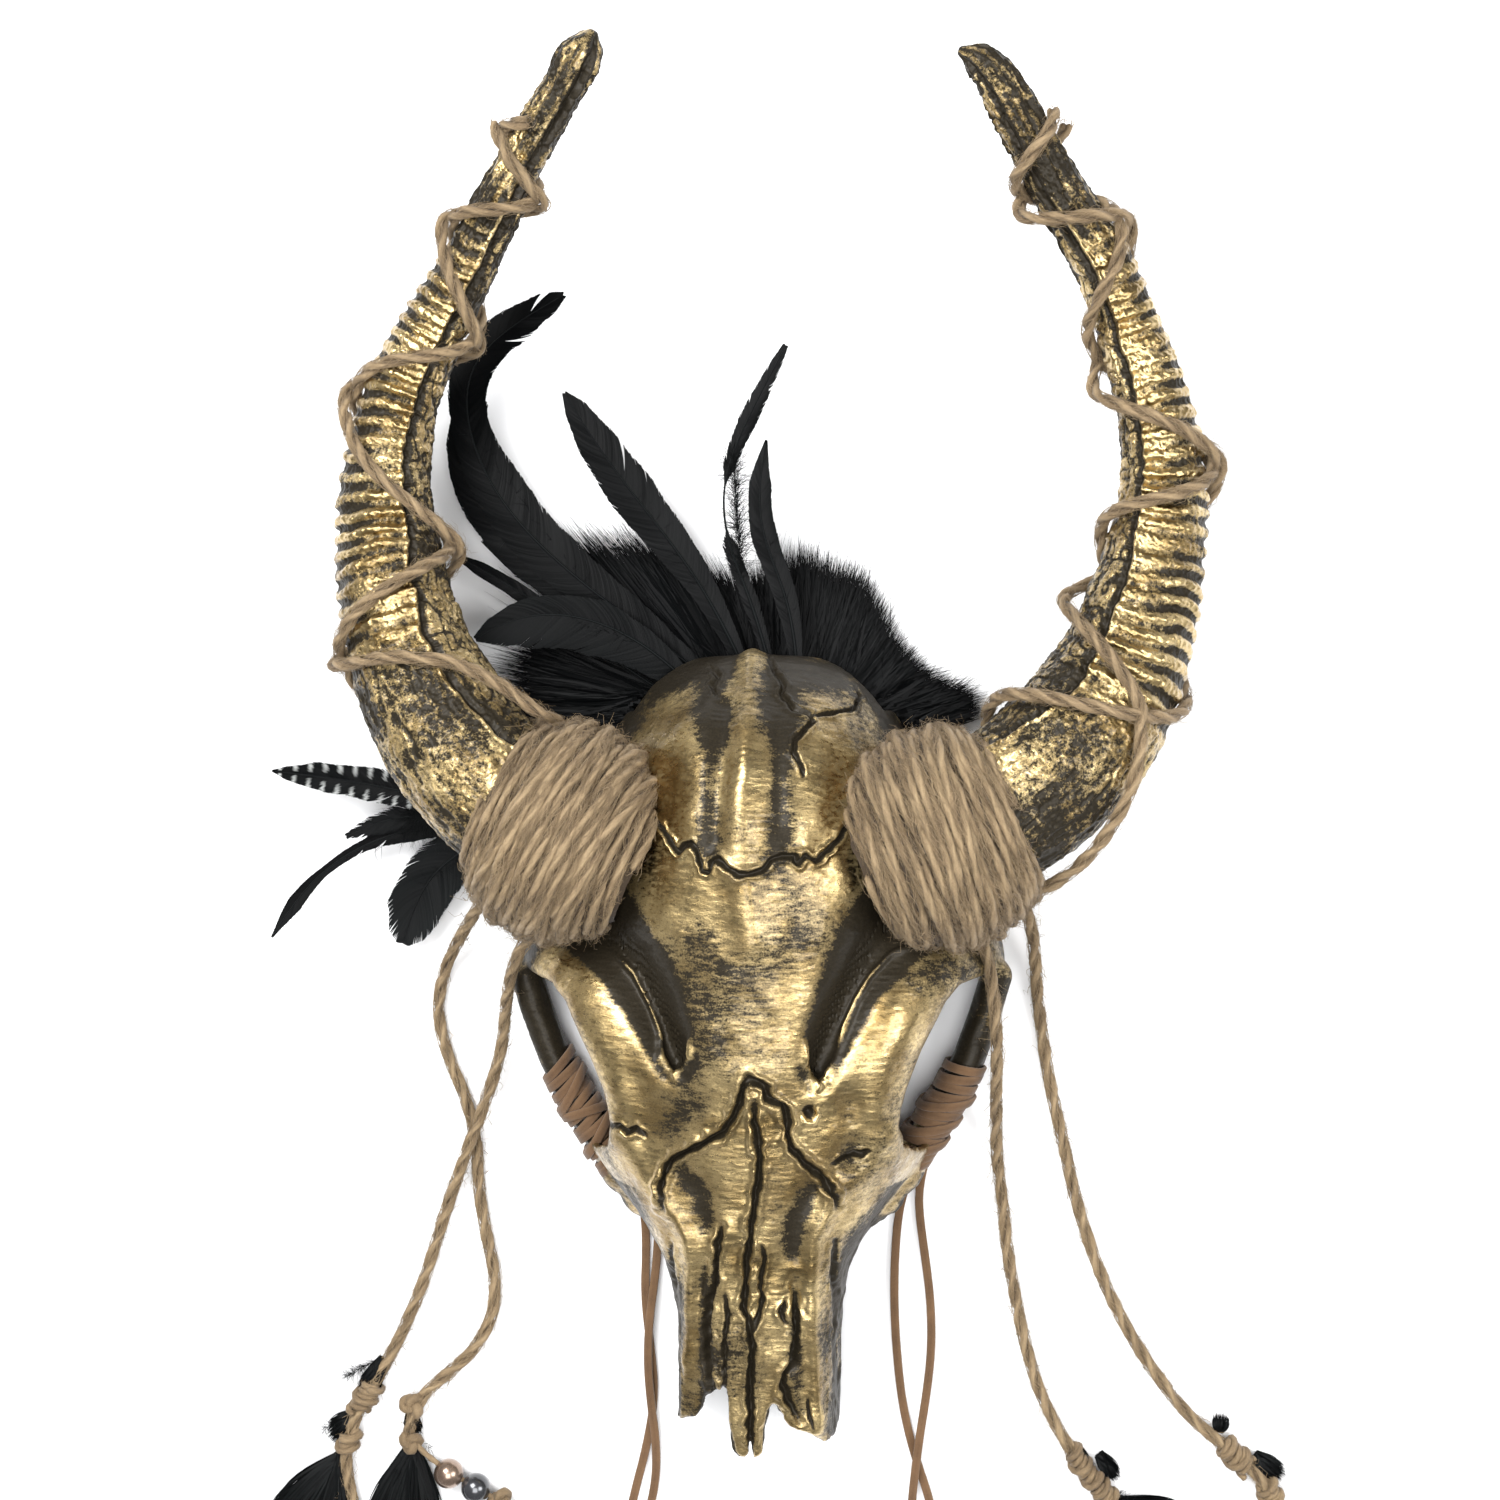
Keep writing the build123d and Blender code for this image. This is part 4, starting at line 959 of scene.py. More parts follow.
# a flat fan of tapering barbs from one point
def barbFan(foot, tip, spread, count, seed, height=(1.2, 6.0), width=0.5, fray=0.25, curl=0.12):
    rng = np.random.default_rng(seed)
    foot, tip = np.array(foot, float), np.array(tip, float)
    k = 9
    share = np.linspace(0, 1, k)
    reach = tip - foot
    long = np.linalg.norm(reach)
    ahead, aside = reach / long, np.array((-reach[1], reach[0])) / long
    turn = rng.uniform(-1, 1, count)
    turn = np.sign(turn) * np.abs(turn) ** 0.8
    size = long * (1 - 0.32 * np.abs(turn) ** 2) * (1 - fray * rng.uniform(0, 1, count) ** 2)
    side = turn * spread
    bend = rng.normal(0, curl, count) + 0.25 * turn
    a = size[:, None] * share
    b = side[:, None] * np.sin(share * 1.9) / np.sin(1.9) * 0.95
    b = b + bend[:, None] * size[:, None] * 0.3 * share ** 2.4
    b += rng.uniform(-1, 1, count)[:, None] * 1.6 * (1 - share)
    hump = 0.35 + 0.65 * np.sin(share * np.pi * 0.8 + 0.35)
    z = height[0] + (height[1] - height[0]) * rng.uniform(0, 1, count)[:, None] * hump
    lines = np.stack([foot[0] + ahead[0] * a + aside[0] * b, foot[1] + ahead[1] * a + aside[1] * b, z], -1)
    along = unit(np.gradient(lines, axis=1))
    across = unit(np.cross(along, (0, 0, 1.0)) + np.array((0, 0, 1.0))
                  * rng.uniform(-0.5, 0.5, (count, 1, 1)))
    halves = width * (1.05 - share ** 1.5)[None] * rng.uniform(0.5, 1.1, (count, 1))
    points, faces = ribbons(lines, across, halves)
    return points, faces, np.repeat(rng.uniform(0, 0.8, count), k * 2)


def downCloud(foot, tip, count, seed, length=5.0, height=(1.5, 6.0)):  # short fine hairs round a line
    rng = np.random.default_rng(seed)
    foot, tip = np.array(foot, float), np.array(tip, float)
    k = 6
    share = np.linspace(0, 1, k)
    start = foot + (tip - foot) * rng.uniform(0, 1, count)[:, None]
    heading = math.atan2(*(tip - foot)[::-1]) + rng.normal(0, 0.9, count)
    size = length * rng.uniform(0.4, 1.2, count)
    bend = rng.normal(0, 0.5, count)
    angle = heading[:, None] + bend[:, None] * share
    x = start[:, :1] + np.cos(angle) * size[:, None] * share
    y = start[:, 1:] + np.sin(angle) * size[:, None] * share
    z = rng.uniform(*height, count)[:, None] + rng.uniform(-1.5, 1.5, count)[:, None] * share
    lines = np.stack([x, y, np.maximum(z, 0.3)], -1)
    points, faces = tubes(lines, 0.09 * (1.1 - share)[None] * np.ones((count, 1)), 3)
    return points, faces, np.repeat(rng.uniform(0, 0.6, count), k * 3)


# foot, tip, half width, number of barbs
tufts = {
    "left_outer_tuft": {"fans": [((-128, -240.5), (-126.5, -250.5), 2.6, 90),
                                 ((-127.2, -251.5), (-133, -306), 12, 620)],
                        "down": [((-131, -255), (-134, -263), 30), ((-122, -252), (-118, -259), 24)],
                        "seed": 61},
    "left_inner_tuft": {"fans": [((-138, -221.5), (-146.5, -236), 3.2, 240),
                                 ((-148, -241), (-157.5, -252), 4.6, 260),
                                 ((-154, -256.5), (-176, -302), 12.5, 620)],
                        "down": [((-141, -222), (-152, -228), 130), ((-152, -243), (-160, -247), 60)],
                        "seed": 62},
    "right_inner_tuft": {"fans": [((113, -250.5), (118, -262), 2.4, 90),
                                  ((121, -252.5), (128, -262), 2.6, 120),
                                  ((127, -269), (158, -294), 12.5, 620)],
                         "down": [((126, -266), (142, -272), 130)], "seed": 63},
    "right_outer_tuft": {"fans": [((163.8, -244), (165, -236.5), 2.6, 60),
                                  ((176.5, -252), (187, -260.5), 3.2, 220),
                                  ((186.5, -271.5), (203, -304), 11.5, 560)],
                         "down": [((188, -272), (197, -280), 60)], "seed": 64},
}


def makeTuft(node, s):
    parts, tones = [], []
    for i, (foot, tip, half, count) in enumerate(s["fans"]):
        fan = barbFan(foot, tip, half, count, s["seed"] + i * 7)
        parts.append(fan[:2])
        tones.append(fan[2])
    for i, (foot, tip, count) in enumerate(s["down"]):
        down = downCloud(foot, tip, count, s["seed"] + 50 + i)
        parts.append(down[:2])
        tones.append(down[2])
    return featherObject(node + "Look", parts, tones, node)


tuftObjects = {node: makeTuft(node, s) for node, s in tufts.items()}
print("tufts made")


# cords
def routeLine(route):  # the points of a curve that has the route as its control points, in millimetres
    curve = bpy.data.curves.new("route", "CURVE")
    curve.dimensions = "3D"
    curve.resolution_u = 12
    spline = curve.splines.new("NURBS")
    spline.points.add(len(route) - 1)
    for point, place in zip(spline.points, route):
        point.co = (*place, 1)
    spline.order_u = 3
    spline.use_endpoint_u = True
    obj = bpy.data.objects.new("route", curve)
    bpy.context.scene.collection.objects.link(obj)
    bpy.context.view_layer.update()
    mesh = bpy.data.meshes.new_from_object(obj.evaluated_get(bpy.context.evaluated_depsgraph_get()))
    line = np.array([v.co for v in mesh.vertices]) / mm
    bpy.data.objects.remove(obj)
    return line


tails = {
    "left_outer_tail": {
        "route": [(-0.0905, -0.0435, 0.035), (-0.098, -0.0525, 0.025), (-0.1055, -0.062, 0.014),
                  (-0.1125, -0.0725, 0.006), (-0.1175, -0.084, 0.0028), (-0.1185, -0.0975, 0.0027),
                  (-0.1145, -0.112, 0.0027), (-0.108, -0.1265, 0.0027), (-0.104, -0.142, 0.0027),
                  (-0.1036, -0.158, 0.0027), (-0.1008, -0.175, 0.0027), (-0.0973, -0.19, 0.0027),
                  (-0.0976, -0.2045, 0.0027), (-0.1045, -0.218, 0.0027), (-0.1165, -0.228, 0.003),
                  (-0.126, -0.2365, 0.0045), (-0.1285, -0.248, 0.005)],
        "length": 0.237, "end": "knot", "knots": "left_outer_knots", "tuft": "left_outer_tuft",
        "whippings": [], "ties": [(-127, -237.6, 5.2, 3.5, 20), (-127.6, -251.0, 5.0, 3.0, 110)], "seed": 71},
    "left_inner_tail": {
        "route": [(-0.0765, -0.06, 0.042), (-0.0835, -0.0695, 0.036), (-0.0885, -0.0805, 0.027),
                  (-0.0915, -0.0925, 0.017), (-0.0935, -0.105, 0.009), (-0.097, -0.118, 0.0076),
                  (-0.1015, -0.131, 0.0086), (-0.1065, -0.1435, 0.0086), (-0.1115, -0.157, 0.005),
                  (-0.117, -0.1725, 0.0027), (-0.122, -0.189, 0.0027), (-0.129, -0.207, 0.0027),
                  (-0.137, -0.223, 0.0032), (-0.146, -0.2375, 0.005), (-0.152, -0.254, 0.005),
                  (-0.1505, -0.27, 0.0034), (-0.146, -0.284, 0.0027)],
        "length": 0.251, "end": "bare", "knots": "left_inner_knots", "tuft": "left_inner_tuft",
        "whippings": [(0.775, 0.815, 4.1, 5), (0.852, 0.877, 3.7, 4)], "ties": [], "seed": 72},
    "right_inner_tail": {
        "route": [(0.076, -0.061, 0.043), (0.08, -0.072, 0.041), (0.082, -0.085, 0.035),
                  (0.0834, -0.099, 0.0305), (0.0836, -0.112, 0.025), (0.0838, -0.124, 0.017),
                  (0.084, -0.136, 0.0085), (0.0848, -0.149, 0.0034),
                  (0.0868, -0.163, 0.0027), (0.0882, -0.179, 0.0027), (0.091, -0.196, 0.0027),
                  (0.0945, -0.213, 0.0027), (0.0995, -0.23, 0.0027), (0.1075, -0.246, 0.0032),
                  (0.1165, -0.2585, 0.005), (0.1255, -0.269, 0.005),
                  (0.133, -0.282, 0.003)],
        "length": 0.243, "end": "bare", "knots": "right_inner_knots", "tuft": "right_inner_tuft",
        "whippings": [(0.84, 0.90, 3.6, 6), (0.905, 0.935, 3.8, 4)], "ties": [], "seed": 73},
    "right_outer_tail": {
        "route": [(0.088, -0.046, 0.034), (0.0935, -0.0545, 0.024), (0.097, -0.0645, 0.0135),
                  (0.0985, -0.076, 0.0055), (0.0994, -0.089, 0.0027), (0.1012, -0.104, 0.0027),
                  (0.1038, -0.121, 0.0027), (0.1079, -0.138, 0.0027),
                  (0.1116, -0.156, 0.0027), (0.1166, -0.174, 0.0027), (0.1228, -0.191, 0.0027),
                  (0.1312, -0.208, 0.0027), (0.1414, -0.224, 0.0027), (0.153, -0.2385, 0.0032),
                  (0.166, -0.249, 0.005), (0.177, -0.258, 0.005),
                  (0.1845, -0.2695, 0.0046), (0.189, -0.282, 0.003)],
        "length": 0.276, "end": "bare", "knots": "right_outer_knots", "tuft": "right_outer_tuft",
        "whippings": [(0.845, 0.888, 4.2, 5), (0.918, 0.945, 3.8, 4)], "ties": [], "seed": 74},
}


def plainTwist(line, radius, seed):  # a lobed strand
    run = runOf(line)
    _, side, up = carriedFrames(line)
    turn = np.arange(10) * 2 * np.pi / 10
    lobes = 1 + 0.12 * np.cos(4 * turn[None] + run[:, None] * 1.6)
    swell = 1 + 0.12 * noiseAlong(run * 0.4, seed, seed)
    ends = np.clip(np.minimum(run, run[-1] - run) / 1.0 + 0.2, 0, 1)
    reach = radius * lobes * (swell * ends)[:, None]
    points = line[:, None] + (np.cos(turn)[None, :, None] * side[:, None] + np.sin(turn)[None, :, None]
                              * up[:, None]) * reach[..., None]
    # painted shade between the lobes, lighter on the swollen lobes
    return points.reshape(-1, 3), gridFaces(len(line), 10, True), np.clip((lobes * swell[:, None] - 0.8)
                                                                          * 1.2, 0, 1).ravel()


def whippingLines(line, first, last, radius, turns,
                  seed):  # coils round a stretch of a line, with one over them
    rng = np.random.default_rng(seed)
    run = runOf(line)
    _, side, up = carriedFrames(line)
    lines = []
    for layer in (0, 1):
        count = 60 * turns
        at = (first + (last - first) * np.linspace(0, 1, count)) * run[-1]
        turn = np.linspace(0, 2 * np.pi * turns, count) * (1 - 2 * layer) + rng.uniform(0, 6)
        if layer:
            turn *= 0.4
        at = at + 0.9 * np.sin(turn + 1) * (1 + 1.3 * layer)
        pick = [np.stack([np.interp(at, run, a[:, k]) for k in range(3)], 1) for a in (line, side, up)]
        reach = radius - 1.2 + 1.1 * layer + 0.25 * noiseAlong(turn, seed, 9)
        lines.append(pick[0] + (pick[1] * np.cos(turn)[:, None] + pick[2] * np.sin(turn)[:, None])
                     * reach[:, None])
    return lines


def overhandKnot(x, y, z, size, turned):  # the loops of one knot in the cord
    t = np.linspace(0, 2 * np.pi, 150)
    knot = np.stack([np.sin(t) + 2 * np.sin(2 * t), np.cos(t) - 2 * np.cos(2 * t), -np.sin(3 * t) * 1.15],
                    1) * size / 3
    c, s = math.cos(math.radians(turned)), math.sin(math.radians(turned))
    return knot @ np.array(((c, s, 0), (-s, c, 0), (0, 0, 1.0))) + (x, y, z)


def knotObject(node, s, line):
    parts, shades = [], []
    for i, (first, last, radius, turns) in enumerate(s["whippings"]):
        for coil in whippingLines(line, first, last, radius, turns, s["seed"] + i):
            coil[:, 2] = np.maximum(coil[:, 2], 1.2)
            strand = plainTwist(evenLine(coil, 0.5), 1.15, s["seed"] + 4)
            hair = looseFibres(coil, 2.2, 2.2, s["seed"] + 5 + i, length=(3, 9), lift=(0.2, 2.2),
                               thickness=0.05)
            parts += [strand[:2], hair[:2]]
            shades += [strand[2], hair[2]]
    for i, (x, y, z, size, turned) in enumerate(s["ties"]):
        coil = overhandKnot(x, y, z, size, turned)
        coil[:, 2] = np.maximum(coil[:, 2], 1.9)
        strand = plainTwist(evenLine(coil, 0.5), 1.75, s["seed"] + 6 + i)
        hair = looseFibres(coil, 3.4, 3.0, s["seed"] + 8 + i, length=(3, 10), lift=(0.2, 2.6), thickness=0.05)
        parts += [strand[:2], hair[:2]]
        shades += [strand[2], hair[2]]
    points, faces = joined(parts)
    obj = juteObject(node + "Jute", points, faces, np.concatenate(shades))
    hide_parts(node)
    return obj


def makeTail(node, s):
    line = evenLine(routeLine(s["route"]), 0.9)
    rope = twistedRope(line, jute["diameter"] * 0.97, jute["twist"], s["seed"])
    obj = juteObject(node + "Jute", *rope)
    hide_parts(node)
    hairs = looseFibres(line, jute["diameter"], 4.5, s["seed"] + 20, length=(8, 24), lift=(0.1, 1.3),
                        thickness=0.09)
    stray = looseFibres(line, jute["diameter"], 0.9, s["seed"] + 21, length=(6, 18), lift=(1.5, 7.0),
                        thickness=0.1)
    frayed = looseFibres(line[-12:], jute["diameter"], 6, s["seed"] + 22, length=(4, 12), lift=(0.2, 2.5),
                         thickness=0.06)
    points, faces = joined([hairs[:2], stray[:2], frayed[:2]])
    fuzz = juteObject(node + "Fuzz", points, faces, np.concatenate([hairs[2], stray[2], frayed[2]]))
    knots = knotObject(s["knots"], s, line)


for node, tail in tails.items():
    makeTail(node, tail)
print("tails made")

# bead cord
beadCord = {
    "route": [(-0.126, -0.2505, 0.0055), (-0.1231, -0.2572, 0.0055), (-0.0939, -0.2722, 0.0055)],
    "length": 0.040, "diameter": 0.0020, "seed": 81, "stop": (-94.6, -271.8, 5.2, 3.4, 35),
}


def beadMaterial(name, dark, light, metal, rough):
    material, tree, shader = newMaterial(name)
    place = addNode(tree, "TexCoord").outputs["Object"]
    swirl = noiseNode(tree, place, 160, 3, 0.55)
    connect(tree, [(mixColor(tree, rangeNode(tree, swirl, 0.35, 0.65), dark, light), shader["Base Color"]),
                   (rangeNode(tree, swirl, 0.3, 0.7, rough * 0.8, rough * 1.2), shader["Roughness"])])
    shader["Metallic"].default_value = metal
    shader["Coat Weight"].default_value = 0.7
    shader["Coat Roughness"].default_value = 0.12
    return material


def makeBeadCord(s):
    line = evenLine(routeLine(s["route"]), 0.5)
    strand = plainTwist(line, s["diameter"] / mm * 0.47, s["seed"])
    obj = juteObject("bead_cordJute", *strand)
    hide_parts("bead_cord")
    knot = knotObject("bead_stop_knot", {"whippings": [], "ties": [s["stop"]], "seed": s["seed"]}, line)


makeBeadCord(beadCord)
for node, skin in (("bronze_bead", beadMaterial("bronzePearl", (0.16, 0.105, 0.075), (0.30, 0.215, 0.16),
                                                0.75, 0.24)),
                   ("black_bead", beadMaterial("gunmetal", (0.045, 0.046, 0.05), (0.085, 0.087, 0.094), 0.7,
                                               0.22))):
    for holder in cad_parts[node].material_slots:
        holder.material = skin
print("bead cord made")


# suede lace
def suedeMaterial():
    material, tree, shader = newMaterial("suede")
    place = addNode(tree, "TexCoord").outputs["Object"]
    edge = addNode(tree, "Attribute", attribute_name="edge").outputs["Fac"]
    tone = noiseNode(tree, place, 120, 4, 0.6)
    nap = noiseNode(tree, place, 2400, 3, 0.7)
    value = mathNode(tree, "ADD", mathNode(tree, "MULTIPLY", tone, 0.6),
                     mathNode(tree, "MULTIPLY", nap, 0.45))
    brown = mixColor(tree, rangeNode(tree, value, 0.3, 0.8), (0.055, 0.026, 0.010), (0.165, 0.088, 0.038))
    connect(tree, [(mixColor(tree, mathNode(tree, "MULTIPLY", edge, 0.45), brown, (0.24, 0.142, 0.072)),
                    shader["Base Color"]),
                   (addNode(tree, "Bump", {"Height": nap, "Strength": 0.35, "Distance": 0.0003}).outputs[0],
                    shader["Normal"])])
    shader["Roughness"].default_value = 0.88
    shader["Sheen Weight"].default_value = 0.15
    shader["Sheen Roughness"].default_value = 0.5
    return material


suedeSkin = suedeMaterial()


def strip(line, outward, width, thickness,
          closed=False):  # a flat lace along a line, one face towards outward
    along = unit(np.gradient(line, axis=0))
    if closed:
        along[0] = along[-1] = unit(line[1] - line[-2])
    up = unit(outward - along * (along * outward).sum(-1, keepdims=True))
    side = np.cross(along, up)
    w, t = width / 2, thickness / 2
    section = np.array([(-w, -t * 0.5), (-w, t * 0.5), (-w * 0.86, t), (0, t * 1.04), (w * 0.86, t),
                        (w, t * 0.5), (w, -t * 0.5), (w * 0.86, -t), (0, -t), (-w * 0.86, -t)])
    points = line[:, None] + side[:, None] * section[None, :, :1] + up[:, None] * section[None, :, 1:]
    edges = np.array([1, 1, 0.5, 0, 0.5, 1, 1, 0.5, 0, 0.5])
    return points.reshape(-1, 3), gridFaces(len(line), 10, True), np.tile(edges, len(line))


laces = {
    "width": 3.0, "thickness": 1.3,
    "left_lace_outer_end": {
        "route": [(-0.0505, -0.1515, 0.0026), (-0.0455, -0.1585, 0.0022), (-0.0426, -0.168, 0.0015),
                  (-0.0422, -0.182, 0.0015), (-0.0428, -0.198, 0.0015), (-0.0406, -0.216, 0.0015),
                  (-0.0389, -0.234, 0.0015), (-0.0419, -0.252, 0.0015), (-0.0467, -0.27, 0.0015),
                  (-0.05, -0.286, 0.0015), (-0.0506, -0.3, 0.0015)],
        "length": 0.152},
    "left_lace_inner_end": {
        "route": [(-0.046, -0.1515, 0.0024), (-0.0405, -0.1575, 0.0018), (-0.0378, -0.167, 0.0015),
                  (-0.038, -0.181, 0.0015), (-0.0394, -0.195, 0.0034), (-0.041, -0.208, 0.0047),
                  (-0.0414, -0.222, 0.0047), (-0.0402, -0.236, 0.0047), (-0.0384, -0.25, 0.0032),
                  (-0.0385, -0.264, 0.0015), (-0.0416, -0.278, 0.0015), (-0.0444, -0.291, 0.0015)],
        "length": 0.143},
    "right_lace_inner_end": {
        "route": [(0.0535, -0.1525, 0.0026), (0.0508, -0.16, 0.0022), (0.0489, -0.17, 0.0015),
                  (0.0478, -0.185, 0.0015), (0.0477, -0.202, 0.0015), (0.0488, -0.22, 0.0015),
                  (0.0508, -0.237, 0.0015), (0.0546, -0.253, 0.0015),
                  (0.0602, -0.269, 0.0015), (0.0635, -0.285, 0.0015), (0.064, -0.299, 0.0015)],
        "length": 0.149},
    "right_lace_outer_end": {
        "route": [(0.0585, -0.1495, 0.0026), (0.0566, -0.1575, 0.0022), (0.0568, -0.168, 0.0015),
                  (0.0589, -0.183, 0.0015), (0.0609, -0.199, 0.0015), (0.0612, -0.216, 0.0015),
                  (0.0594, -0.231, 0.0032), (0.057, -0.245, 0.0047),
                  (0.055, -0.26, 0.0047), (0.0536, -0.274, 0.003), (0.0538, -0.288, 0.0015)],
        "length": 0.140},
}


def laceObject(name, points, faces, edges):
    obj = meshObject(name, points * mm, faces, suedeSkin)
    paintMask(obj, "edge", edges)
    fillEnds(obj)
    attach(obj, "mask")
    return obj


def makeLaceEnd(node, s, lace):
    line = evenLine(routeLine(s["route"]), 1.2)
    run = np.arange(len(line)) * 1.2
    tilt = 0.22 * noiseAlong(run * 0.03, len(node), 5)
    outward = np.stack([np.sin(tilt), np.zeros(len(line)), np.cos(tilt)], 1)
    obj = laceObject(node + "Suede", *strip(line, outward, lace["width"], lace["thickness"]))
    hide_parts(node)


for node in ("left_lace_outer_end", "left_lace_inner_end", "right_lace_inner_end", "right_lace_outer_end"):
    makeLaceEnd(node, laces[node], laces)

laceWrap = {
    "path": [(73, -112), (69, -120), (59, -136), (52.2, -146.5)], "height": 13, "wide": 6.0, "high": 8.0,
    # place along the wrap from 0 to 1, tilt across the arch, layer
    "left": [(0.02, 2.6, 0), (0.12, 1.8, 0), (0.21, 2.4, 0), (0.30, 1.0, 0), (0.39, 2.2, 0), (0.48, 1.2, 0),
             (0.57, 1.9, 0), (0.66, 0.9, 0), (0.75, 1.6, 0), (0.84, 0.8, 0), (0.93, 1.7, 0), (1.0, 1.2, 0),
             (0.27, 4.2, 1), (0.50, -1.8, 1), (0.72, 3.8, 1)],
    "right": [(0.02, 1.6, 0), (0.11, 2.3, 0), (0.20, 1.6, 0), (0.29, 2.6, 0), (0.38, 1.9, 0), (0.47, 2.8, 0),
              (0.56, 2.2, 0), (0.65, 3.0, 0), (0.74, 2.3, 0), (0.83, 3.1, 0), (0.92, 3.6, 0), (1.0, 4.0, 0),
              (0.36, 4.8, 1), (0.60, 5.6, 1), (0.82, 6.0, 1)],
}


def makeLaceWrap(name, side, s):
    path = evenLine([(x * side, y, s["height"]) for x, y in s["path"]], 0.5)
    along = unit(np.gradient(path, axis=0))
    parts, edges = [], []
    rng = np.random.default_rng(90 + side)
    for at, tilt, layer in s[name]:
        i = at * (len(path) - 1)
        centre = np.array([np.interp(i, np.arange(len(path)), path[:, k]) for k in range(3)])
        way = along[int(i)]
        across = np.cross(way, (0, 0, 1.0))
        turn = np.linspace(0, 2 * np.pi, 61)
        grow = 0.75 + 1.15 * layer + rng.uniform(0, 0.25)
        ring = (across * (np.cos(turn) * (s["wide"] + grow))[:, None] + np.array((0, 0, 1.0))
                * (np.sin(turn) * (s["high"] + grow))[:, None]
                + way * (tilt * np.sin(turn + 0.9) * 0.55 + (tilt * 0.7) * np.cos(turn))[:, None])
        line = centre + ring
        outward = unit(across * (np.cos(turn) / (s["wide"] + grow))[:, None] + np.array((0, 0, 1.0))
                       * (np.sin(turn) / (s["high"] + grow))[:, None])
        lace = strip(line, outward, 3.2, 1.25, closed=True)
        parts.append(lace[:2])
        edges.append(lace[2])
    points, faces = joined(parts)
    obj = laceObject(name + "_lace_wrapSuede", points, faces, np.concatenate(edges))
    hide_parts(name + "_lace_wrap")


makeLaceWrap("left", -1, laceWrap)
makeLaceWrap("right", 1, laceWrap)
print("laces made")

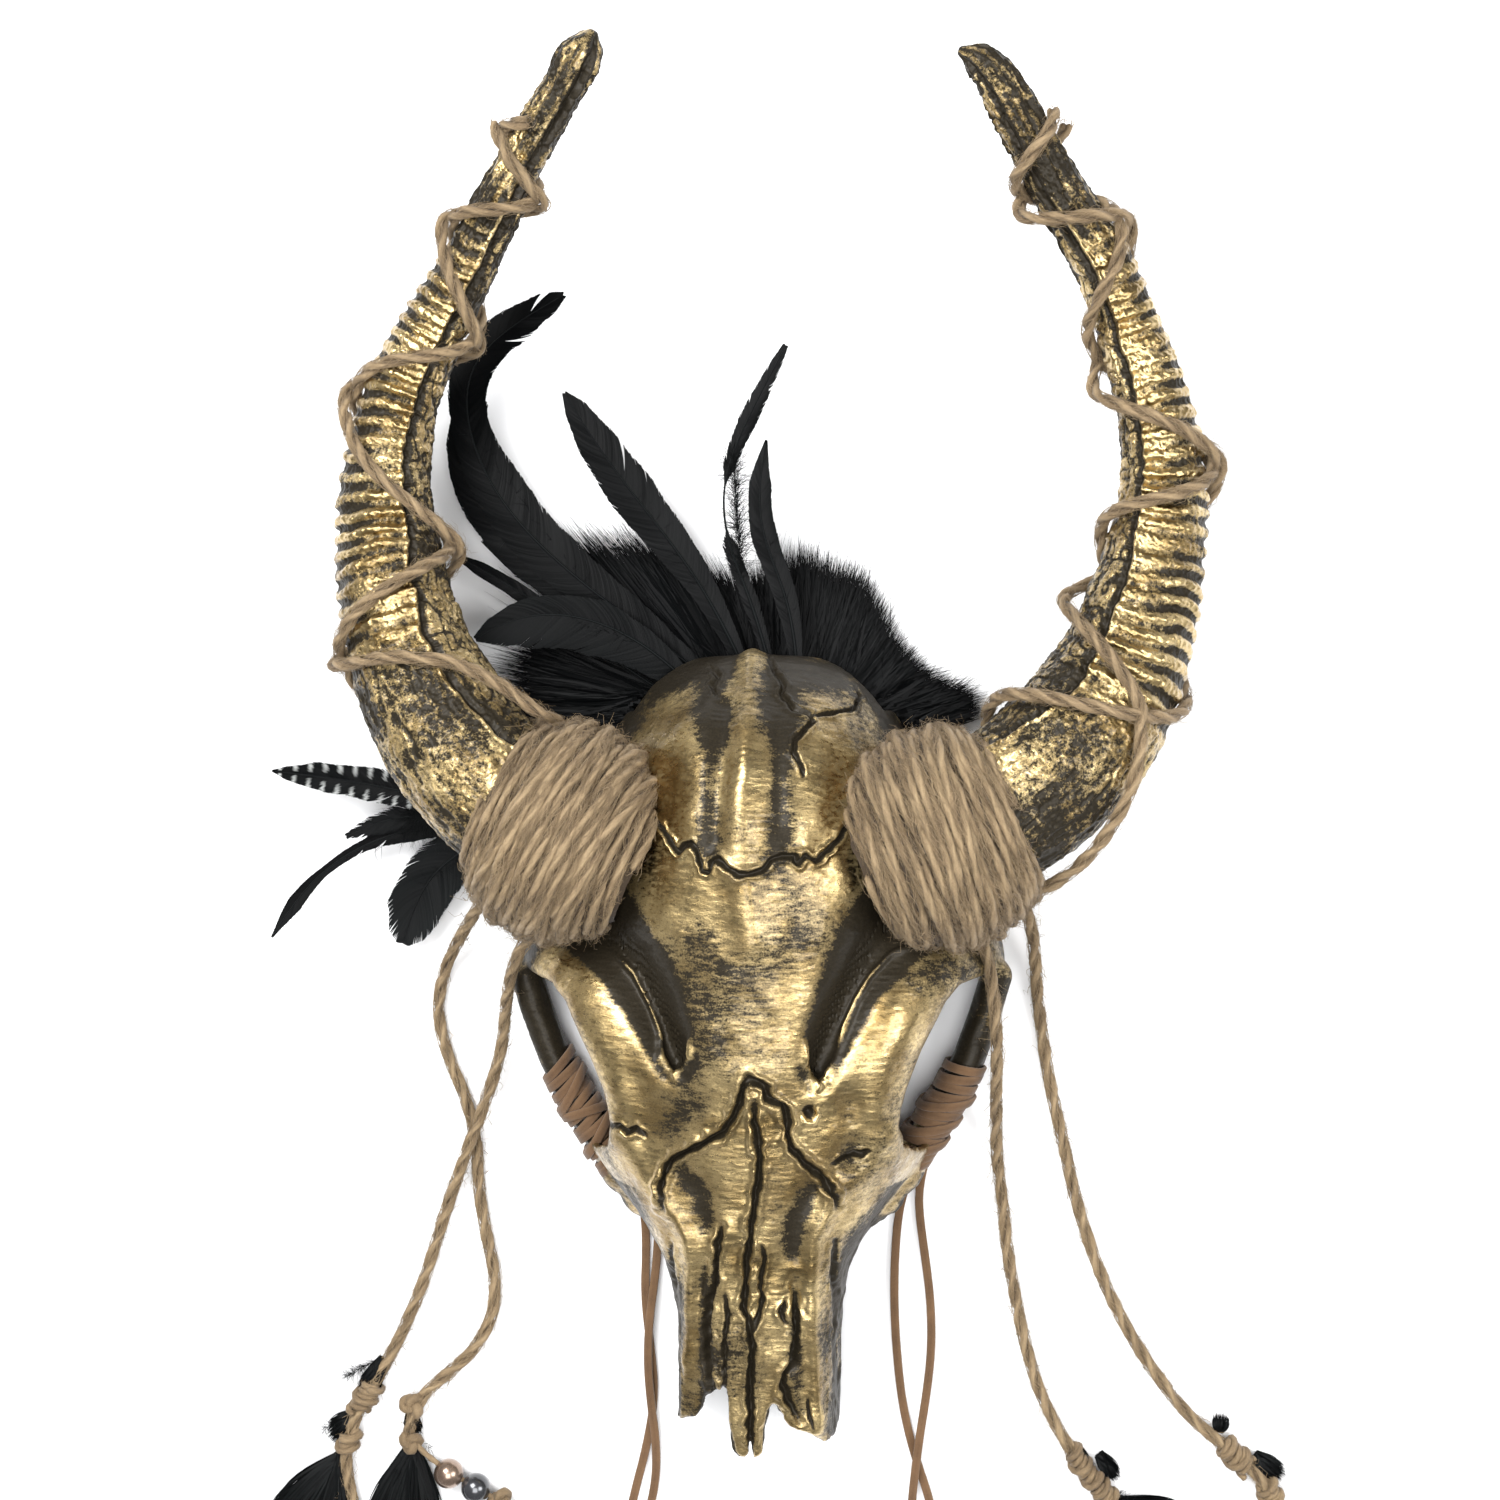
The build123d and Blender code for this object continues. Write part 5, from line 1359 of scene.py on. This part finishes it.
# feathers
# shaft in plan, height of the vane, (place along the shaft, half width on its left and on its right)
feathers = {
    "crest_feather_1": {"shaft": [(-24, 14), (-60, 38), (-85, 56), (-113, 72)], "z": 13.6, "seed": 1,
                        "widths": [(0, 0.3, 0.3), (0.45, 1.6, 1.6), (0.7, 3.4, 3.0), (0.88, 2.6, 2.4),
                                   (1, 0.2, 0.2)]},
    "crest_feather_2": {"shaft": [(-20, 14), (-50, 44), (-80, 61), (-101, 76)], "z": 15.6, "seed": 2,
                        "widths": [(0, 0.3, 0.3), (0.45, 1.8, 1.8), (0.7, 3.2, 3.2), (0.88, 2.2, 2.4),
                                   (1, 0.2, 0.2)]},
    "crest_feather_3": {"shaft": [(-8, 12), (-45, 45), (-85, 72), (-106, 100), (-110, 122)], "z": 17.6,
                        "seed": 3,
                        "widths": [(0, 0.4, 0.4), (0.35, 7, 7), (0.6, 9, 9.5), (0.8, 7, 9.5), (0.93, 4.5, 6),
                                   (1, 1.0, 1.0)]},
    "crest_feather_4": {"shaft": [(-2, 12), (-40, 42), (-80, 75), (-102, 108), (-103, 137), (-89, 152),
                                  (-70, 163.5)],
                        "z": 19.6, "seed": 4, "splits": [(1, 0.93), (-1, 0.86)],
                        "widths": [(0, 0.4, 0.4), (0.25, 6, 7), (0.45, 9, 10), (0.6, 8, 10.5), (0.70, 6.5, 7),
                                   (0.8, 7.5, 7), (0.9, 7, 6.5), (0.97, 4.5, 4), (1, 1.2, 0.8)]},
    "crest_feather_5": {"shaft": [(2, 12), (-22, 60), (-44, 90), (-60, 112), (-70, 128)], "z": 21.6,
                        "seed": 5,
                        "splits": [(-1, 0.72)],
                        "widths": [(0, 0.4, 0.4), (0.35, 4.5, 5), (0.55, 7.5, 7.5), (0.68, 8.6, 8.6),
                                   (0.85, 6.5, 7), (0.95, 3.6, 4.6),
                                   (1, 0.8, 0.8)]},
    "crest_feather_6": {"shaft": [(8, 12), (-4, 55), (-12, 80), (-12.5, 92), (-4, 118), (9.6, 144)],
                        "z": 23.4, "seed": 6,
                        "fray": 0.5, "widths": [(0, 0.3, 0.3), (0.3, 3, 3), (0.46, 2.8, 2.5), (0.5, 0.1, 0.1),
                                                (0.62, 0.1, 0.1),
                                                (0.66, 2.2, 2.6), (0.8, 3.4, 3.6), (0.93, 2.4, 2.6),
                                                (1, 1.2, 0.8)]},
    "crest_feather_7": {"shaft": [(14, 12), (9, 55), (1, 80), (0.5, 96), (2.5, 110)], "z": 25.0, "seed": 7,
                        "widths": [(0, 0.3, 0.3), (0.4, 4, 4), (0.65, 4.6, 4.6), (0.85, 3.8, 3.8),
                                   (1, 0.4, 0.4)]},
    "crest_feather_8": {"shaft": [(-14, 12), (-38, 35), (-70, 48), (-88, 46), (-101, 39.5)], "z": 26.6,
                        "seed": 8,
                        "paintedSheen": 0.45, "widths": [(0, 0.4, 0.4), (0.3, 8, 5), (0.55, 12, 8),
                                                    (0.8, 11.5, 6.5), (0.93, 7, 4),
                                                    (1, 1.0, 1.0)]},
    "side_feather_1": {"shaft": [(-73, -26), (-105, -20), (-140, -12.3), (-176.6, -7.2)], "z": 16.6,
                       "seed": 9, "bars": 5.4,
                       "paintedSheen": 0.5, "splits": [(1, 0.55)],
                       "widths": [(0, 0.4, 0.4), (0.3, 5, 5), (0.62, 6, 6.5), (0.85, 5, 5), (0.95, 2.6, 2.2),
                                  (1, 0.3, 0.3)]},
    "side_feather_2": {"shaft": [(-73, -27), (-105, -25), (-130, -24), (-150, -31)], "z": 14.1, "seed": 10,
                       "fray": 0.7,
                       "paintedSheen": 0.5, "widths": [(0, 0.4, 0.4), (0.4, 5, 6), (0.7, 6, 5), (0.9, 3.5, 3),
                                                  (1, 1.0, 1.0)]},
    "side_feather_3": {"shaft": [(-73, -28), (-110, -26), (-145, -35), (-164, -49), (-177.6, -67.6)],
                       "z": 11.6, "seed": 11,
                       "splits": [(1, 0.52), (-1, 0.45), (1, 0.6)],
                       "widths": [(0, 0.4, 0.4), (0.25, 4, 5), (0.45, 4.5, 5), (0.6, 2.0, 2.4),
                                  (0.75, 1.6, 1.8), (0.88, 3.0, 3.0),
                                  (1, 0.3, 0.3)]},
    "side_feather_4": {"shaft": [(-73, -30), (-100, -33), (-118, -44), (-130.3, -69.9)], "z": 9.1, "seed": 12,
                       "paintedSheen": 1.0,
                       "widths": [(0, 0.4, 0.4), (0.35, 6, 7), (0.6, 10.5, 10.5), (0.85, 10, 10),
                                  (0.96, 6.5, 6.5), (1, 2.5, 2.5)]},
}


def makeFeather(node, s):
    rng = np.random.default_rng(s["seed"])
    shaft, _ = smoothLine(np.array([(*p, 0) for p in s["shaft"]], float), 900)
    run = runOf(shaft)
    long = run[-1]
    along = unit(np.gradient(shaft, axis=0))
    aside = np.stack([-along[:, 1], along[:, 0], np.zeros(len(along))], 1)
    table = np.array(s["widths"], float)
    fray, spacing = s.get("fray", 0.06), 0.3
    k = 9
    share = np.linspace(0, 1, k)
    parts, tones, bars = [], [], []
    for side in (1, -1):
        at = np.arange(0.10 * long, long * 0.995, spacing)
        at = at + rng.uniform(-0.1, 0.1, len(at))
        clump = latticeNoise(np.stack([at * 0.16, at * 0, at * 0 + side * 3.3], 1) + 11, s["seed"])
        fine = latticeNoise(np.stack([at * 0.9, at * 0, at * 0 + side * 5.3], 1) + 11, s["seed"] + 1)
        reach = np.interp(at / long, table[:, 0], table[:, 1 if side > 0 else 2])
        ahead = np.minimum(1.15 * reach + 2.0 + 1.2 * clump, (long - at) * 0.96 + 0.4)
        for where, place in s.get("splits", []):
            if where == side:
                gap = at - place * long
                before = np.where((gap > -9) & (gap < 0), -0.16 * (gap + 9), 0)
                ahead += before + np.where((gap >= 0) & (gap < 7), 0.2 * (7 - gap), 0)
        ahead = np.minimum(ahead, (long - at) * 0.98 + 0.5)
        tipAt = at + ahead
        width = np.interp(np.clip(tipAt / long, 0, 1), table[:, 0], table[:, 1 if side > 0 else 2])
        width = width * (1 + 0.03 * fine + 0.05 * clump - fray * rng.uniform(0, 1, len(at)) ** 2)
        root = np.stack([np.interp(at, run, shaft[:, i]) for i in range(3)], 1)
        middle = np.stack([np.interp(at + ahead * 0.42, run, shaft[:, i]) for i in range(3)], 1) \
            + np.stack([np.interp(at + ahead * 0.42, run, aside[:, i]) for i in range(3)],
                       1) * (side * width * 0.66)[:, None]
        end = np.stack([np.interp(tipAt, run, shaft[:, i]) for i in range(3)], 1) \
            + np.stack([np.interp(tipAt, run, aside[:, i]) for i in range(3)], 1) * (side * width)[:, None]
        t = share[None, :, None]
        lines = root[:, None] * (1 - t) ** 2 + middle[:, None] * 2 * t * (1 - t) + end[:, None] * t ** 2
        drop = -1.1 * (share[None] * width[:, None] / max(table[:, 1:].max(), 4)) ** 2
        wave = 0.5 * noiseAlong(at * 0.05, s["seed"] + 3, 2)
        lines[..., 2] = s["z"] + drop + wave[:, None] * share[None] + 0.05 * rng.uniform(-1, 1, (len(at), 1))
        lean = rng.uniform(0.1, 0.3, len(at)) + 0.1 * clump
        flow = unit(np.gradient(lines, axis=1))
        across = unit(np.cross(flow, (0, 0, 1.0)) + np.array((0, 0, 1.0)) * lean[:, None, None])
        halves = (0.36 - 0.22 * share ** 3)[None] * np.ones((len(at), 1)) * (1 - 0.5 * fray * share[None])
        keep = width >= 0.25  # the shaft is bare elsewhere
        ribbon = ribbons(lines[keep], across[keep], halves[keep])
        parts.append(ribbon)
        # painted sheen: barbs lighter towards their tips, more on the feathers given a sheen value
        light = s.get("paintedSheen", 0.15) * (0.35 + 0.65 * share[None]) * (0.6 + 0.4 * clump[keep][:, None])
        light = light + 0.12 * rng.uniform(0, 1, (keep.sum(), 1))
        tones.append(np.repeat(np.broadcast_to(light, (keep.sum(), k)).ravel(), 2))
        if "bars" in s:
            phase = (at[keep][:, None] + share[None] * ahead[keep][:, None]) / s["bars"]
            band = (np.abs(phase - np.round(phase)) < 0.11) * np.clip((at[keep][:, None] - 0.4 * long) / 8, 0,
                                                                      1) * (share[None] > 0.3)
            bars.append(np.repeat((band * np.clip(share[None] * 1.3, 0, 1)).ravel(), 2))
        else:
            bars.append(np.zeros(keep.sum() * k * 2))
    # the shaft
    radii = np.interp(run / long, (0, 0.5, 1), (0.75, 0.42, 0.12))[None, ::12]
    quill = shaft[::12].copy()
    quill[:, 2] = s["z"] + 0.12
    tube = tubes(quill[None], radii, 6)
    parts.append(tube)
    tones.append(np.full(len(tube[0]), 0.75))
    bars.append(np.zeros(len(tube[0])))
    # down near the foot and along the edges
    down = downCloud(shaft[330][:2], shaft[620][:2], int(90 * fray / 0.06) if fray > 0.3 else 40,
                     s["seed"] + 30,
                     length=6 + 8 * fray, height=(s["z"] - 0.6, s["z"] + 0.6))
    parts.append(down[:2])
    tones.append(down[2])
    bars.append(np.zeros(len(down[0])))
    obj = featherObject(node + "Look", parts, tones, node)
    paintMask(obj, "bar", np.concatenate(bars))


for node, feather in feathers.items():
    makeFeather(node, feather)
print("feathers made")

# the black mass behind the crown: hackles that fan out from under its edge
hackle = {
    "roots": [(-52, 9), (-49, 15), (-46, 20), (-40, 22), (-34, 24), (-27, 26), (-20, 28), (-13, 29), (-7, 30),
              (-1, 30), (5, 30), (12, 30), (18, 29), (24, 28), (30, 26), (37, 23), (44, 19), (52, 12),
              (60, 6)],
    "tips": [(-80, 4), (-91, 12), (-92, 24), (-90, 38), (-82.7, 54.1), (-71.9, 76), (-57.5, 75.5),
             (-43.1, 77), (-28.7, 68.2), (-7.2, 62.7), (5.3, 66.2),
             (14.2, 73.3), (24.9, 67.9), (35.6, 64.3), (42.7, 53.6), (49.8, 39.3), (60.5, 28.6), (76, 21.4),
             (78, 13)],
    "seed": 17, "height": (5.3, 11.6),
}


def makeHackle(node, first, last, strands, hairs, s):
    rng = np.random.default_rng(s["seed"] + last)
    roots, tips = np.array(s["roots"], float), np.array(s["tips"], float)
    knots = np.arange(len(roots))
    parts, tones = [], []
    for count, width, over, fine in ((strands, 0.75, 0.0, False), (hairs, 0.2, 0.24, True)):
        k = 9
        share = np.linspace(0, 1, k)
        u = rng.uniform(first, last, count)
        lean = u + rng.normal(0, 0.55 if fine else 0.3, count)
        root = np.stack([np.interp(u + rng.normal(0, 0.3, count), knots, roots[:, i]) for i in (0, 1)], 1)
        tip = np.stack([np.interp(np.clip(lean, first, last), knots, tips[:, i]) for i in (0, 1)], 1)
        locks = noiseAlong(u * 2.6, s["seed"], 4)
        far = 0.93 + 0.07 * locks + rng.normal(0, 0.045, count) + over * rng.uniform(0, 1, count) ** 1.6
        if not fine:
            far *= rng.uniform(0.55, 1, count) ** 0.5
        reach = (tip - root) * far[:, None]
        bend = rng.normal(0, 0.05, count) + 0.07 * locks
        sway = np.stack([-reach[:, 1], reach[:, 0]], 1) * bend[:, None]
        flat = root[:, None] + reach[:, None] * share[None, :, None]
        flat = flat + sway[:, None] * np.sin(share * np.pi)[None, :, None]
        flat = flat + sway[:, None] * (share ** 3)[None, :, None] * 1.2
        z = rng.uniform(*s["height"], count)[:, None] * np.ones(k)
        lines = np.concatenate([flat, z[..., None]], -1)
        flow = unit(np.gradient(lines, axis=1))
        across = unit(np.cross(flow, (0, 0, 1.0)) + np.array((0, 0, 1.0))
                      * rng.uniform(-0.6, 0.6, (count, 1, 1)))
        halves = width * (1.08 - share ** 2)[None] * rng.uniform(0.6, 1.1, (count, 1))
        parts.append(ribbons(lines, across, halves))
        tones.append(np.repeat(rng.uniform(0, 0.25, count), k * 2))
    # packed down in the middle
    steps = np.linspace(first, last, 60)
    a = np.stack([np.interp(steps, knots, roots[:, i]) for i in (0, 1)], 1)
    b = np.stack([np.interp(steps, knots, tips[:, i]) for i in (0, 1)], 1)
    wave = noiseAlong(steps * 3, 6)
    rows = [np.concatenate([a + (b - a) * (t + 0.05 * wave[:, None] * t), np.full((60, 1), z)], 1)
            for t, z in ((0.0, 6.2), (0.3, 6.0), (0.6, 6.0), (0.8, 6.3), (0.8, 8.6), (0.6, 9.3), (0.3, 9.4),
                         (0.0, 9.2))]
    parts.append((np.stack(rows).reshape(-1, 3), gridFaces(8, 60, False)))
    tones.append(np.zeros(480))
    featherObject(node + "Look", parts, tones, node)


makeHackle("crest_hackle_left", 0, 9, 3300, 2300, hackle)
makeHackle("crest_hackle_right", 9, 18, 2700, 2900, hackle)
print("hackles made")


# plugs, screws, washers and felt
def plainMaterial(name, dark, light, scale, metal, rough, stretch=(1, 1, 1)):
    material, tree, shader = newMaterial(name)
    place = addNode(tree, "TexCoord").outputs["Object"]
    place = addNode(tree, "VectorMath", {0: place, 1: stretch}, operation="MULTIPLY").outputs[0]
    grain = noiseNode(tree, place, scale, 4, 0.65)
    bump = addNode(tree, "Bump", {"Height": grain, "Strength": 0.25, "Distance": 0.0004})
    connect(tree, [(mixColor(tree, rangeNode(tree, grain, 0.3, 0.7), dark, light), shader["Base Color"]),
                   (rangeNode(tree, grain, 0.2, 0.8, rough * 0.85, rough * 1.15), shader["Roughness"]),
                   (bump.outputs[0], shader["Normal"])])
    shader["Metallic"].default_value = metal
    return material


turnedWood = plainMaterial("turnedWood", (0.30, 0.17, 0.08), (0.55, 0.36, 0.19), 220, 0, 0.55, (0.15, 1, 1))
brightSteel = plainMaterial("brightSteel", (0.45, 0.45, 0.46), (0.62, 0.62, 0.63), 900, 1, 0.3)
blackFelt = plainMaterial("blackFelt", (0.012, 0.012, 0.013), (0.04, 0.04, 0.042), 1500, 0, 0.95)
for skin, nodes in ((turnedWood, ("left_horn_plug", "right_horn_plug")),
                    (brightSteel, ("horn_screws", "horn_washers")),
                    (blackFelt, ("feather_pad", "side_feather_pad"))):
    for node in nodes:
        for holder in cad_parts[node].material_slots:
            holder.material = skin
print("inner parts finished")


# floor and lights
studio = {
    "floor": (0.93, 0.93, 0.935), "roughness": 0.7, "sky": (0.95, 0.97, 1.0), "daylight": 0.32,
    # name, place, size, watts
    "lamps": [("softboxLeft", (-0.50, 0.50, 1.15), 0.7, 23), ("softboxRight", (0.85, -0.1, 1.0), 0.6, 11),
              ("softboxTop", (0.0, -0.35, 1.5), 0.9, 18)],
}


def makeStage(s):
    points, faces = [(-3, -3, 0), (3, -3, 0), (3, 3, 0), (-3, 3, 0)], [(0, 1, 2, 3)]
    material, tree, shader = newMaterial("paleFloor")
    shader["Base Color"].default_value = (*s["floor"], 1)
    shader["Roughness"].default_value = s["roughness"]
    shader["Specular IOR Level"].default_value = 0.2
    floor = meshObject("floor", points, faces, material, smooth=False)
    floor.location.z = -0.0004
    world = bpy.data.worlds.new("studio")
    world.use_nodes = True
    sky = world.node_tree.nodes["Background"].inputs
    sky["Color"].default_value = (*s["sky"], 1)
    sky["Strength"].default_value = s["daylight"]
    bpy.context.scene.world = world
    for name, place, size, watts in s["lamps"]:
        data = bpy.data.lights.new(name, "AREA")
        data.shape, data.size, data.energy = "SQUARE", size, watts
        lamp = bpy.data.objects.new(name, data)
        lamp.location = place
        lamp.rotation_euler = (-Vector(place)).to_track_quat("-Z", "Y").to_euler()
        bpy.context.scene.collection.objects.link(lamp)
    bpy.context.scene.view_settings.view_transform = "Standard"


makeStage(studio)
print("stage lit")
